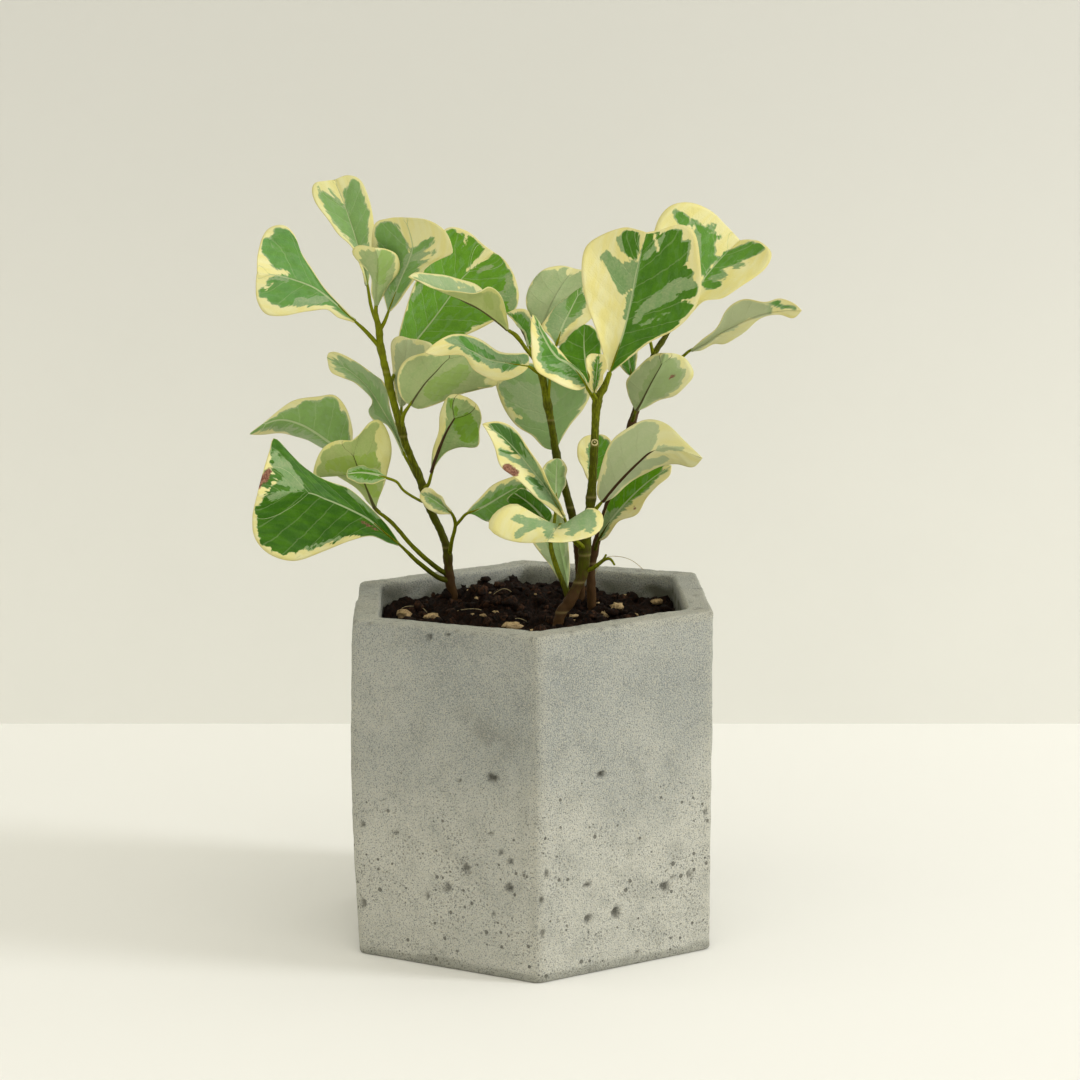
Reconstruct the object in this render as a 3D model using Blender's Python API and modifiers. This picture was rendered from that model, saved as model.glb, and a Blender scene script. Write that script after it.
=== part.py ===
"""A small variegated triangle fig in a hexagonal concrete planter, at rest on a table.

Metres, +Z up, origin at the centre of the planter's underside. The front corner looks along -Y.
Leaves and stems were measured in the upright plane through the planter's axis, as the eye of the
photograph sees them; a third number, the depth, says how far behind that plane each point lies.
"""

import math

import bmesh
import bpy
import numpy as np
from mathutils import Matrix

MM = 0.001

# Planter, in millimetres: a typical hand-poured planter is 100 across its flats.
POT_RIM_RADIUS = 58.4
POT_FOOT_RADIUS = 58.2
POT_HEIGHT = 97.2
POT_WALL = 7.6
POT_FLOOR = 11.0
POT_YAW = math.radians(2.0)
POT_CORNER = 3.0
POT_CORNER_INNER = 2.0
RIM_ROUND = 1.1
RIM_TILT = 0.021
BULGE = 1.0
LEAN = 0.45

# Potting soil
SOIL_BOTTOM = 64.0
SOIL_TOP = 89.4
SOIL_GAP = 0.3
HOLE_GAP = 0.35
STEM_FOOT = 71.0

# Eye of the photograph. Heights below were read from a mark this far above the table.
EYE = (2.4, -814.0, 256.0)
MARK = 0.8

# Leaf blades
BLADE = 0.7
ROWS = 9
COLUMNS = 2


def start_clean():
    for thing in list(bpy.data.objects):
        bpy.data.objects.remove(thing, do_unlink=True)
    for group in list(bpy.data.collections):
        bpy.data.collections.remove(group)


def new_collection(name):
    group = bpy.data.collections.new(name)
    bpy.context.scene.collection.children.link(group)
    return group


def new_material(name, colour, roughness):
    material = bpy.data.materials.new(name)
    material.use_nodes = True
    shader = material.node_tree.nodes["Principled BSDF"]
    shader.inputs["Base Color"].default_value = (*colour, 1.0)
    shader.inputs["Roughness"].default_value = roughness
    return material


def add_object(name, shape, group, material=None):
    thing = bpy.data.objects.new(name, shape)
    group.objects.link(thing)
    if material:
        shape.materials.append(material)
    return thing


def helper(thing):
    thing.hide_render = True
    thing.display_type = "WIRE"
    return thing


def bake(thing):
    """The mesh of an object as its modifiers leave it, in place of the object's own."""
    bpy.context.view_layer.update()
    graph = bpy.context.evaluated_depsgraph_get()
    mesh = bpy.data.meshes.new_from_object(thing.evaluated_get(graph))
    thing.modifiers.clear()
    thing.data = mesh
    return thing


def sight(x, z, depth):
    """The point at this depth on the line from the eye through (x, 0, z), in millimetres."""
    k = (depth - EYE[1]) / -EYE[1]
    return (EYE[0] + (x - EYE[0]) * k, depth, MARK + EYE[2] + (z - EYE[2]) * k)


def smooth(points, count):
    """A smooth curve through the points, as count positions evenly spaced along it."""
    points = np.array(points, float)
    ends = np.vstack([2 * points[0] - points[1], points, 2 * points[-1] - points[-2]])
    fine = []
    for i in range(len(points) - 1):
        p0, p1, p2, p3 = ends[i : i + 4]
        for t in np.linspace(0, 1, 12, endpoint=False):
            fine.append(
                0.5
                * (
                    2 * p1
                    + (p2 - p0) * t
                    + (2 * p0 - 5 * p1 + 4 * p2 - p3) * t**2
                    + (3 * p1 - p0 - 3 * p2 + p3) * t**3
                )
            )
    fine = np.array(fine + [points[-1]])
    along = np.concatenate([[0], np.cumsum(np.linalg.norm(np.diff(fine, axis=0), axis=1))])
    wanted = np.linspace(0, along[-1], count)
    return np.stack([np.interp(wanted, along, fine[:, k]) for k in range(fine.shape[1])], axis=1)


def blade_rows(base, mid, left, right, depth, arch=0.0, lift=(0.0, 0.0), rows=ROWS, columns=COLUMNS):
    """Rows of points across a blade. Each row runs from the left margin over the midrib to the right
    margin; the margins and the midrib share the base and the tip. The depth goes from the base's to
    the tip's, arch bends the midrib, and lift bends each margin back (+) or forward (-)."""
    spine = smooth([base, *mid], rows + 1)
    sides = [smooth([base, *side, mid[-1]], rows + 1) for side in (left, right)]
    found = []
    for i in range(1, rows):
        s = i / rows
        middle = depth[0] + (depth[1] - depth[0]) * s + arch * 4 * s * (1 - s)
        swell = math.sin(math.pi * s**0.85) ** 0.8
        row = []
        for j in range(-columns, columns + 1):
            t = abs(j) / columns
            side = 0 if j < 0 else 1
            x, z = spine[i] + (sides[side][i] - spine[i]) * t
            row.append(sight(x, z, middle + lift[side] * swell * t**1.5))
        found.append(row)
    return sight(*base, depth[0]), found, sight(*mid[-1], depth[1])


def leaf(name, group, petiole, base, mid, left, right, depth, arch=0.0, lift=(0.0, 0.0)):
    """One leaf as two solids: a surface of triangles, thickened, and the petiole with the foot of the
    midrib."""
    first, rows, last = blade_rows(base, mid, left, right, depth, arch, lift)
    rib = [(*first, 0.45), (*rows[0][COLUMNS], 0.42), (*rows[1][COLUMNS], 0.36)]
    rod(name + "_petiole", group, petiole, after=rib)
    shape = bmesh.new()
    start = shape.verts.new(np.array(first) * MM)
    grid = [[shape.verts.new(np.array(p) * MM) for p in row] for row in rows]
    end = shape.verts.new(np.array(last) * MM)
    for j in range(2 * COLUMNS):
        shape.faces.new((start, grid[0][j], grid[0][j + 1]))
        shape.faces.new((grid[-1][j + 1], grid[-1][j], end))
    for lower, upper in zip(grid, grid[1:]):
        for j in range(2 * COLUMNS):
            if j < COLUMNS:
                shape.faces.new((lower[j], upper[j], lower[j + 1]))
                shape.faces.new((upper[j], upper[j + 1], lower[j + 1]))
            else:
                shape.faces.new((lower[j], upper[j], upper[j + 1]))
                shape.faces.new((lower[j], upper[j + 1], lower[j + 1]))
    bmesh.ops.recalc_face_normals(shape, faces=shape.faces)
    mesh = bpy.data.meshes.new(name)
    shape.to_mesh(mesh)
    shape.free()
    thing = add_object(name, mesh, group)
    thick = thing.modifiers.new("thickness", "SOLIDIFY")
    thick.thickness = BLADE * MM
    thick.offset = 0.0
    return bake(thing)


def rod(name, group, path, sides=6, step=6.0, before=(), after=()):
    """A tapering round stem, petiole or twig along a path of (x, z, depth, radius). The points before
    and after it are (x, y, z, radius) in the object's own frame."""
    points = [(*sight(x, z, depth), radius) for x, z, depth, radius in path]
    points = [*before, *points, *after]
    length = sum(math.dist(p[:3], q[:3]) for p, q in zip(points, points[1:]))
    line = smooth(points, max(3, round(length / step) + 1))
    curve = bpy.data.curves.new(name, "CURVE")
    curve.dimensions = "3D"
    curve.bevel_depth = MM
    curve.bevel_resolution = (sides - 4) // 2
    curve.use_fill_caps = True
    curve.render_resolution_u = 0
    spline = curve.splines.new("POLY")
    spline.points.add(len(line) - 1)
    for point, (x, y, z, radius) in zip(spline.points, line):
        point.co = (x * MM, y * MM, z * MM, 1.0)
        point.radius = radius
    thing = bpy.data.objects.new(name, curve)
    group.objects.link(thing)
    bpy.context.view_layer.update()
    graph = bpy.context.evaluated_depsgraph_get()
    mesh = bpy.data.meshes.new_from_object(thing.evaluated_get(graph))
    bpy.data.objects.remove(thing, do_unlink=True)
    shape = bmesh.new()
    shape.from_mesh(mesh)
    bmesh.ops.remove_doubles(shape, verts=shape.verts, dist=0.00001)
    bmesh.ops.recalc_face_normals(shape, faces=shape.faces)
    shape.to_mesh(mesh)
    shape.free()
    return add_object(name, mesh, group)


def join(main, group, material, target):
    """One body of the main stem and all that grows from it."""
    union = main.modifiers.new("grown together", "BOOLEAN")
    union.operation = "UNION"
    union.solver = "MANIFOLD"
    union.operand_type = "COLLECTION"
    union.collection = group
    bake(main)
    for thing in list(group.objects):
        bpy.data.objects.remove(thing, do_unlink=True)
    bpy.data.collections.remove(group)
    main.data.materials.clear()
    main.data.materials.append(material)
    main.data.shade_smooth()
    main.data.set_sharp_from_angle(angle=math.radians(40))
    return main


def leafy_stem(name, foot, stem, twigs, leaves, target, material):
    parts = bpy.data.collections.new(name + "_parts")
    bpy.context.scene.collection.children.link(parts)
    main = rod(name, target, stem, sides=8, step=7.0, before=foot)
    for i, path in enumerate(twigs):
        rod(f"{name}_twig_{i}", parts, path)
    for i, shape in enumerate(leaves):
        leaf(f"{name}_leaf_{i}", parts, **shape)
    return join(main, parts, material, target)


# The left stem, its twigs and its leaves
LEFT_FOOT = [(-22.2, 22.4, STEM_FOOT, 1.5), (-22.2, 22.4, 83, 1.45)]
LEFT_STEM = [
    (-22.4, 96, 22, 1.3),
    (-23.4, 100, 21.5, 1.3),
    (-23.9, 105, 21, 1.25),
    (-24.3, 110, 20.5, 1.2),
    (-26, 115, 20, 1.15),
    (-29, 121.5, 19, 1.15),
    (-31.8, 130, 18, 1.1),
    (-35.8, 140, 17, 1.05),
    (-37.1, 145, 16, 1.1),
    (-38.6, 150, 16, 1.05),
    (-41, 160, 15, 1.05),
    (-42.8, 168.5, 14, 1),
    (-43.1, 173, 13, 0.85),
    (-44, 177, 12, 0.65),
    (-43.8, 180.5, 11.5, 0.5),
]
LEFT_TWIGS = [
]
LEFT_LEAVES = [
    dict(
        petiole=[(-42.6, 167.5, 14, 0.7), (-46.5, 172, 12.5, 0.6)],
        base=(-49.5, 174.9),
        mid=[(-55.5, 180.4), (-61, 184.6), (-67, 187), (-72, 188.2), (-77.4, 189)],
        left=[
            (-54.5, 176.2), (-58, 178.8), (-63.5, 178), (-70, 176.8), (-75, 177.3), (-77.5, 181),
            (-77.8, 185),
        ],
        right=[
            (-55, 181), (-60, 187), (-64.5, 194), (-66.8, 199.8), (-70, 202.4), (-74.5, 200.8),
            (-77, 194.5),
        ],
        depth=(11, -4),
        arch=1.5,
        lift=(-3, -2),
    ),
    dict(
        petiole=[(-43.3, 173.5, 13, 0.55), (-45.2, 179, 15.5, 0.5)],
        base=(-46.2, 185),
        mid=[(-47.5, 191), (-49, 197), (-50.5, 202), (-52.5, 208), (-55.3, 215)],
        left=[(-47.8, 190), (-51, 196.5), (-55, 201), (-59, 206), (-61.4, 211), (-60.9, 214), (-58, 214.7)],
        right=[(-45.3, 190), (-44.3, 196.5), (-44.4, 204), (-45.8, 210.5), (-48, 215), (-51.5, 216.3)],
        depth=(16.5, 26),
        arch=1,
        lift=(-3, 1),
    ),
    dict(
        petiole=[(-44, 176.5, 12, 0.5)],
        base=(-43.8, 179.5),
        mid=[(-43.7, 184), (-43.3, 189), (-43.3, 193), (-44, 196)],
        left=[(-41.8, 182.5), (-39.5, 186.5), (-37.2, 190.5), (-37.8, 194), (-40.8, 195.6)],
        right=[(-45, 183), (-45.3, 187.5), (-48, 191.5), (-50.4, 195), (-48.5, 196.7)],
        depth=(11.5, 3),
        arch=-1.5,
        lift=(2.5, 2),
    ),
    dict(
        petiole=[(-43, 172.5, 13, 0.6), (-41.6, 175, 13, 0.55)],
        base=(-40.5, 177.8),
        mid=[(-38.5, 183), (-36.5, 188), (-34.5, 192.5), (-33.5, 197), (-35.5, 204.5)],
        left=[(-42, 183), (-44.3, 190), (-45, 197), (-44, 202.8), (-40, 204.3)],
        right=[
            (-38, 180), (-35, 184), (-32.3, 187.8), (-28.5, 191.6), (-22.8, 193.8), (-22.2, 196),
            (-24.5, 200.7), (-29.5, 203.9),
        ],
        depth=(13, 4),
        arch=1,
        lift=(-1, -5),
    ),
    dict(
        petiole=[(-40.3, 157, 15.3, 0.6), (-39, 160, 20, 0.55)],
        base=(-37.6, 162.5),
        mid=[(-34, 168), (-28, 175.5), (-23, 182.3), (-19, 188), (-10.6, 194.8)],
        left=[
            (-37.8, 167.5), (-37, 174), (-34, 183), (-30.5, 191), (-26.5, 198.5), (-23, 201.7),
            (-18, 200.6), (-13.5, 196.9),
        ],
        right=[
            (-33, 164.5), (-25, 168.5), (-17.5, 171.7), (-10, 175.8), (-5, 178), (-3.6, 181.5),
            (-4, 185.5), (-5.6, 189.8), (-8.2, 193.2),
        ],
        depth=(24, 42),
        arch=2,
        lift=(-2, -3),
    ),
    dict(
        petiole=[(-37, 144.5, 16.2, 0.65), (-36.4, 148.5, 13, 0.6)],
        base=(-34.6, 151.4),
        mid=[(-33, 153.8), (-30.2, 157.6), (-27, 161), (-24.3, 163.8), (-20.5, 166.5)],
        left=[
            (-32, 150.3), (-27, 151.6), (-20, 154.7), (-14, 156.1), (-10, 157), (-10, 161),
            (-14.5, 165.5),
        ],
        right=[
            (-36.4, 152.8), (-37.6, 155), (-38, 158.5), (-37, 162.5), (-34.5, 165.2), (-30, 166.4),
            (-25, 167),
        ],
        depth=(10.5, 19),
        arch=-0.5,
        lift=(4, -3),
    ),
    dict(
        petiole=[(-37.2, 146, 16, 0.6)],
        base=(-37, 150.5),
        mid=[(-36.6, 157), (-36, 163), (-35.4, 167.5), (-34.5, 170.4)],
        left=[(-34, 153.5), (-31, 159), (-28.5, 164.5), (-28, 168.5), (-31, 169.9)],
        right=[(-38.4, 153.5), (-39.3, 160), (-39.8, 166), (-39.6, 169.6), (-37.5, 171.1)],
        depth=(19, 20),
        lift=(0, 0.5),
    ),
    dict(
        petiole=[(-33.2, 131.3, 18, 0.55), (-34.9, 134.6, 20, 0.5)],
        base=(-36, 136.6),
        mid=[(-38.5, 143), (-42, 149.5), (-46.5, 156.5), (-52, 161.5), (-58, 165)],
        left=[
            (-38.3, 140.8), (-41.5, 146), (-44.8, 147), (-46.4, 149.7), (-45.6, 152.9), (-49.5, 157.5),
            (-54, 159.3), (-57, 161),
        ],
        right=[
            (-37.5, 142), (-39.8, 149.5), (-41.8, 157.3), (-44.3, 160), (-49, 163.3), (-54.5, 166.3),
            (-57.3, 166.4),
        ],
        depth=(21, 28),
        arch=2,
        lift=(-1, -1),
    ),
    dict(
        petiole=[(-43.5, 120.5, 14.3, 0.5), (-47.5, 125, 19, 0.45), (-49.6, 130, 21.6, 0.45)],
        base=(-50.5, 133.5),
        mid=[(-54.5, 138), (-59, 141.8), (-65, 145.6), (-71, 147.2), (-76, 145.8), (-80.3, 143)],
        left=[(-55, 136.8), (-60.5, 139.2), (-64.5, 141.8), (-70, 143.3), (-76, 142.9)],
        right=[
            (-51.2, 138.5), (-51, 144), (-52.8, 150.5), (-56, 154.3), (-61, 154), (-67, 152.8),
            (-72, 149.5), (-77, 145.5),
        ],
        depth=(22.5, 38),
        arch=-2,
        lift=(7, 5),
    ),
    dict(
        petiole=[
            (-24.3, 102.5, 21, 0.8), (-28, 105, 19, 0.75), (-34, 110.5, 17, 0.65), (-40, 117.5, 15, 0.6),
        ],
        base=(-44.7, 121.3),
        mid=[(-46.5, 126), (-48.3, 130.5), (-50, 134.7), (-51.2, 138.5), (-51.2, 141.2)],
        left=[
            (-43.6, 125), (-41.3, 131), (-40, 137), (-40.8, 143.3), (-43, 147), (-46, 146.5),
            (-49.3, 142.8),
        ],
        right=[
            (-47, 123.7), (-50.5, 128), (-55, 130.9), (-59, 131.9), (-62.2, 130.2), (-61.7, 134.5),
            (-59.5, 139), (-55.5, 141.2),
        ],
        depth=(14, 4),
        lift=(3, 2),
    ),
    dict(
        petiole=[
            (-30, 123.4, 18.5, 0.5), (-32.5, 124.2, 14, 0.45), (-36.5, 126.8, 9, 0.4),
            (-38.5, 129.3, 7, 0.4),
        ],
        base=(-41.2, 130.4),
        mid=[(-45, 131.5), (-49, 132), (-52.8, 131.6)],
        left=[(-43.8, 129.2), (-47, 128.7), (-50.5, 129.4), (-52.5, 130.4)],
        right=[(-43, 132), (-46, 133.4), (-49.5, 133.9), (-52.2, 133)],
        depth=(5.5, -1),
        lift=(-2, 2),
    ),
    dict(
        petiole=[(-24, 100.5, 21, 0.8), (-27.5, 102, 18, 0.75), (-33, 106.4, 13, 0.65)],
        base=(-37.5, 110.8),
        mid=[(-42, 114.6), (-46.5, 118.4), (-52, 121.4), (-58.5, 124.2), (-65, 126.3), (-78.4, 125.7)],
        left=[
            (-41, 111.6), (-46, 113.6), (-52, 112.3), (-60, 109), (-68, 106.4), (-75, 108.2),
            (-79.2, 113), (-79.8, 119.5),
        ],
        right=[
            (-41, 116.3), (-46, 122), (-52, 127.3), (-58.5, 129.7), (-64, 133), (-69, 137.6),
            (-73.3, 142), (-74.8, 138), (-76.6, 132),
        ],
        depth=(10, -16),
        arch=1.5,
        lift=(-4, -2),
    ),
    dict(
        petiole=[(-31.2, 127.5, 18, 0.6), (-29.6, 128.4, 16, 0.55)],
        base=(-28.6, 131.5),
        mid=[(-27, 136.5), (-25.5, 140.5), (-23.7, 144.5), (-21.8, 147.7), (-18.3, 153.7)],
        left=[
            (-26.5, 135.3), (-24, 138), (-20, 139.3), (-15.2, 139.7), (-14.9, 144), (-14.2, 148),
            (-15.4, 151.5),
        ],
        right=[(-28.5, 135.5), (-27.3, 141), (-26.2, 146.5), (-25.2, 151), (-24, 153.8), (-21.5, 154.6)],
        depth=(14, 3),
        lift=(-1, 5),
    ),
    dict(
        petiole=[(-23.7, 107.5, 21, 0.7), (-22.9, 112, 17, 0.6), (-21.8, 117, 14, 0.55)],
        base=(-22.8, 120.1),
        mid=[(-26, 122.8), (-29, 124.8), (-31.8, 126.2)],
        left=[(-25, 119.9), (-27.5, 120.3), (-30, 121.8), (-31.8, 124.3)],
        right=[(-24, 122.3), (-26, 125.3), (-28.5, 127.2), (-30.5, 127.6)],
        depth=(12, 9),
        lift=(-1, -1),
    ),
    dict(
        petiole=[(-21.9, 116.5, 14.3, 0.5), (-20.4, 118.2, 12.5, 0.45)],
        base=(-18.8, 120),
        mid=[(-14, 122), (-9, 125), (-5, 127.3), (-1.5, 128.5)],
        left=[(-17.5, 121.8), (-14, 125.7), (-9.5, 129.2), (-5, 131), (-2, 130.6)],
        right=[(-16.5, 119.8), (-12.5, 117.8), (-8, 118.2), (-4, 120.8), (-1.2, 125)],
        depth=(11, 5),
        arch=1,
        lift=(2, 0),
    ),
]

# The middle stem, behind the others
MIDDLE_FOOT = [(14.4, 21, STEM_FOOT, 1.5), (14.4, 21, 86, 1.45)]
MIDDLE_STEM = [
    (13.9, 100, 20, 1.35),
    (13.5, 108, 19, 1.3),
    (12.2, 117, 18, 1.2),
    (9.8, 126.5, 17, 1.15),
    (7.3, 136, 16, 1.1),
    (5.8, 145, 15, 1.05),
    (4.3, 153, 14, 1.1),
    (2.8, 160.5, 13, 0.95),
    (1.2, 164, 12, 0.7),
    (-1.2, 167, 10, 0.6),
    (-4.2, 171, 8, 0.55),
    (-6.4, 172.6, 7, 0.5),
]
MIDDLE_TWIGS = [
]
MIDDLE_LEAVES = [
    dict(
        petiole=[(-4.2, 171, 8, 0.5)],
        base=(-6.4, 172.6),
        mid=[(-10, 175.5), (-15, 179), (-20, 181.6), (-25, 183.7), (-30, 186), (-34.8, 187.8)],
        left=[
            (-6.8, 176), (-8.6, 182), (-12, 185.1), (-16, 183.4), (-22, 183.5), (-28, 184.9),
            (-32.5, 187),
        ],
        right=[(-9, 178), (-13, 182.8), (-16.5, 186), (-22, 187.8), (-28, 188.5), (-32.5, 189.1)],
        depth=(7, -10),
        lift=(-7, 6),
    ),
    dict(
        petiole=[(2.9, 160, 13, 0.65), (0.8, 161.4, 11.5, 0.55)],
        base=(-0.8, 162.4),
        mid=[(-6, 163.3), (-12, 164.3), (-17, 166.8), (-22, 168.6), (-30.4, 166.3)],
        left=[
            (-2.5, 160.6), (-6, 158.9), (-11, 158.5), (-15.5, 160.8), (-18.5, 165), (-22.5, 165.6),
            (-27, 165.6),
        ],
        right=[(-1, 166), (-5, 166.2), (-9, 166.7), (-14, 169.8), (-19, 171.6), (-23, 171.4), (-27, 169.3)],
        depth=(10.5, -6),
        arch=-1,
        lift=(-4, 1),
    ),
    dict(
        petiole=[(7.1, 136.8, 16, 0.6)],
        base=(6.9, 138.3),
        mid=[(5.5, 146), (4, 154), (3, 163)],
        left=[(3.5, 139.2), (0, 142.7), (-4, 145.2), (-7, 149), (-9.3, 154), (-10, 159), (-6, 163.5)],
        right=[(8.8, 142), (11.5, 146.3), (14.8, 150.5), (17, 155.5), (16.5, 161), (11, 164)],
        depth=(18, 32),
        arch=1,
        lift=(2, 1),
    ),
    dict(
        petiole=[(4.7, 151.5, 14.2, 0.55), (5, 156, 13, 0.45), (5.6, 162.5, 12.5, 0.45)],
        base=(7, 168.4),
        mid=[(8.7, 173.5), (11, 178.3), (14.5, 185.2)],
        left=[(5.5, 170.6), (2.9, 173.5), (4, 176), (7, 179.5), (11, 182.9)],
        right=[(8.6, 168.6), (12, 171.4), (16, 175.3), (18.5, 178.5), (17.5, 183)],
        depth=(12, 22),
        lift=(1, -1),
    ),
    dict(
        petiole=[(1.8, 162.5, 12.5, 0.6), (1.6, 168, 17, 0.5)],
        base=(3, 174),
        mid=[(5, 179), (8, 184.5), (12, 190.2)],
        left=[(-0.3, 176.8), (-1.6, 181), (-0.2, 186), (3.4, 189.8), (8, 191)],
        right=[(6, 177.2), (11, 180.5), (15.5, 185), (15.5, 189)],
        depth=(20, 30),
        lift=(1, 1),
    ),
    dict(
        petiole=[(1.2, 163.7, 12.1, 0.5), (0.5, 165.8, 15.4, 0.4)],
        base=(-0.4, 167.6),
        mid=[(-2, 171.5), (-4, 175), (-7, 177.6)],
        left=[(-1.2, 170.3), (-2.8, 173.4), (-5.2, 175.5)],
        right=[(0.4, 171), (0.2, 175), (-1, 178.3), (-4, 178.8)],
        depth=(17.3, 24),
        lift=(-1, 0),
    ),
]

# The front stem, with the side shoot at its foot
FRONT_FOOT = [(6.4, -6.4, STEM_FOOT, 1.6), (6.6, -6.4, 84, 1.6)]
FRONT_STEM = [
    (8.4, 91, -6, 1.55),
    (10.4, 93.7, -5.6, 1.5),
    (12.9, 98.6, -5, 1.5),
    (14.5, 102.4, -4.5, 1.6),
    (15, 106, -4, 1.6),
    (15.3, 110, -3.5, 1.55),
    (16.2, 117, -3, 1.35),
    (17.1, 126, -2, 1.25),
    (17.6, 134, -1.5, 1.2),
    (18, 142, -1, 1.15),
    (18.3, 149, 0, 1.15),
    (18.9, 153.5, 0, 1.15),
    (20.5, 156.2, 0, 0.9),
    (22.2, 160.6, 0, 0.7),
]
FRONT_TWIGS = [
    [
        (10.8, 94.4, -5.4, 0.8), (9.3, 99, -4.5, 0.8), (7, 105, -3, 0.75), (5.7, 109.5, -1.5, 0.7),
        (5.2, 113.5, -1, 0.6),
    ],
    [
        (15.4, 103.4, -4.3, 0.65), (17.8, 104.4, -5.5, 0.6), (20.8, 106.7, -7, 0.5),
        (22.6, 106.9, -7.8, 0.4), (23.8, 105.2, -8.4, 0.3),
    ],
    [(20.2, 106.2, -6.8, 0.35), (21.4, 108.2, -7.2, 0.3)],
]
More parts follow.
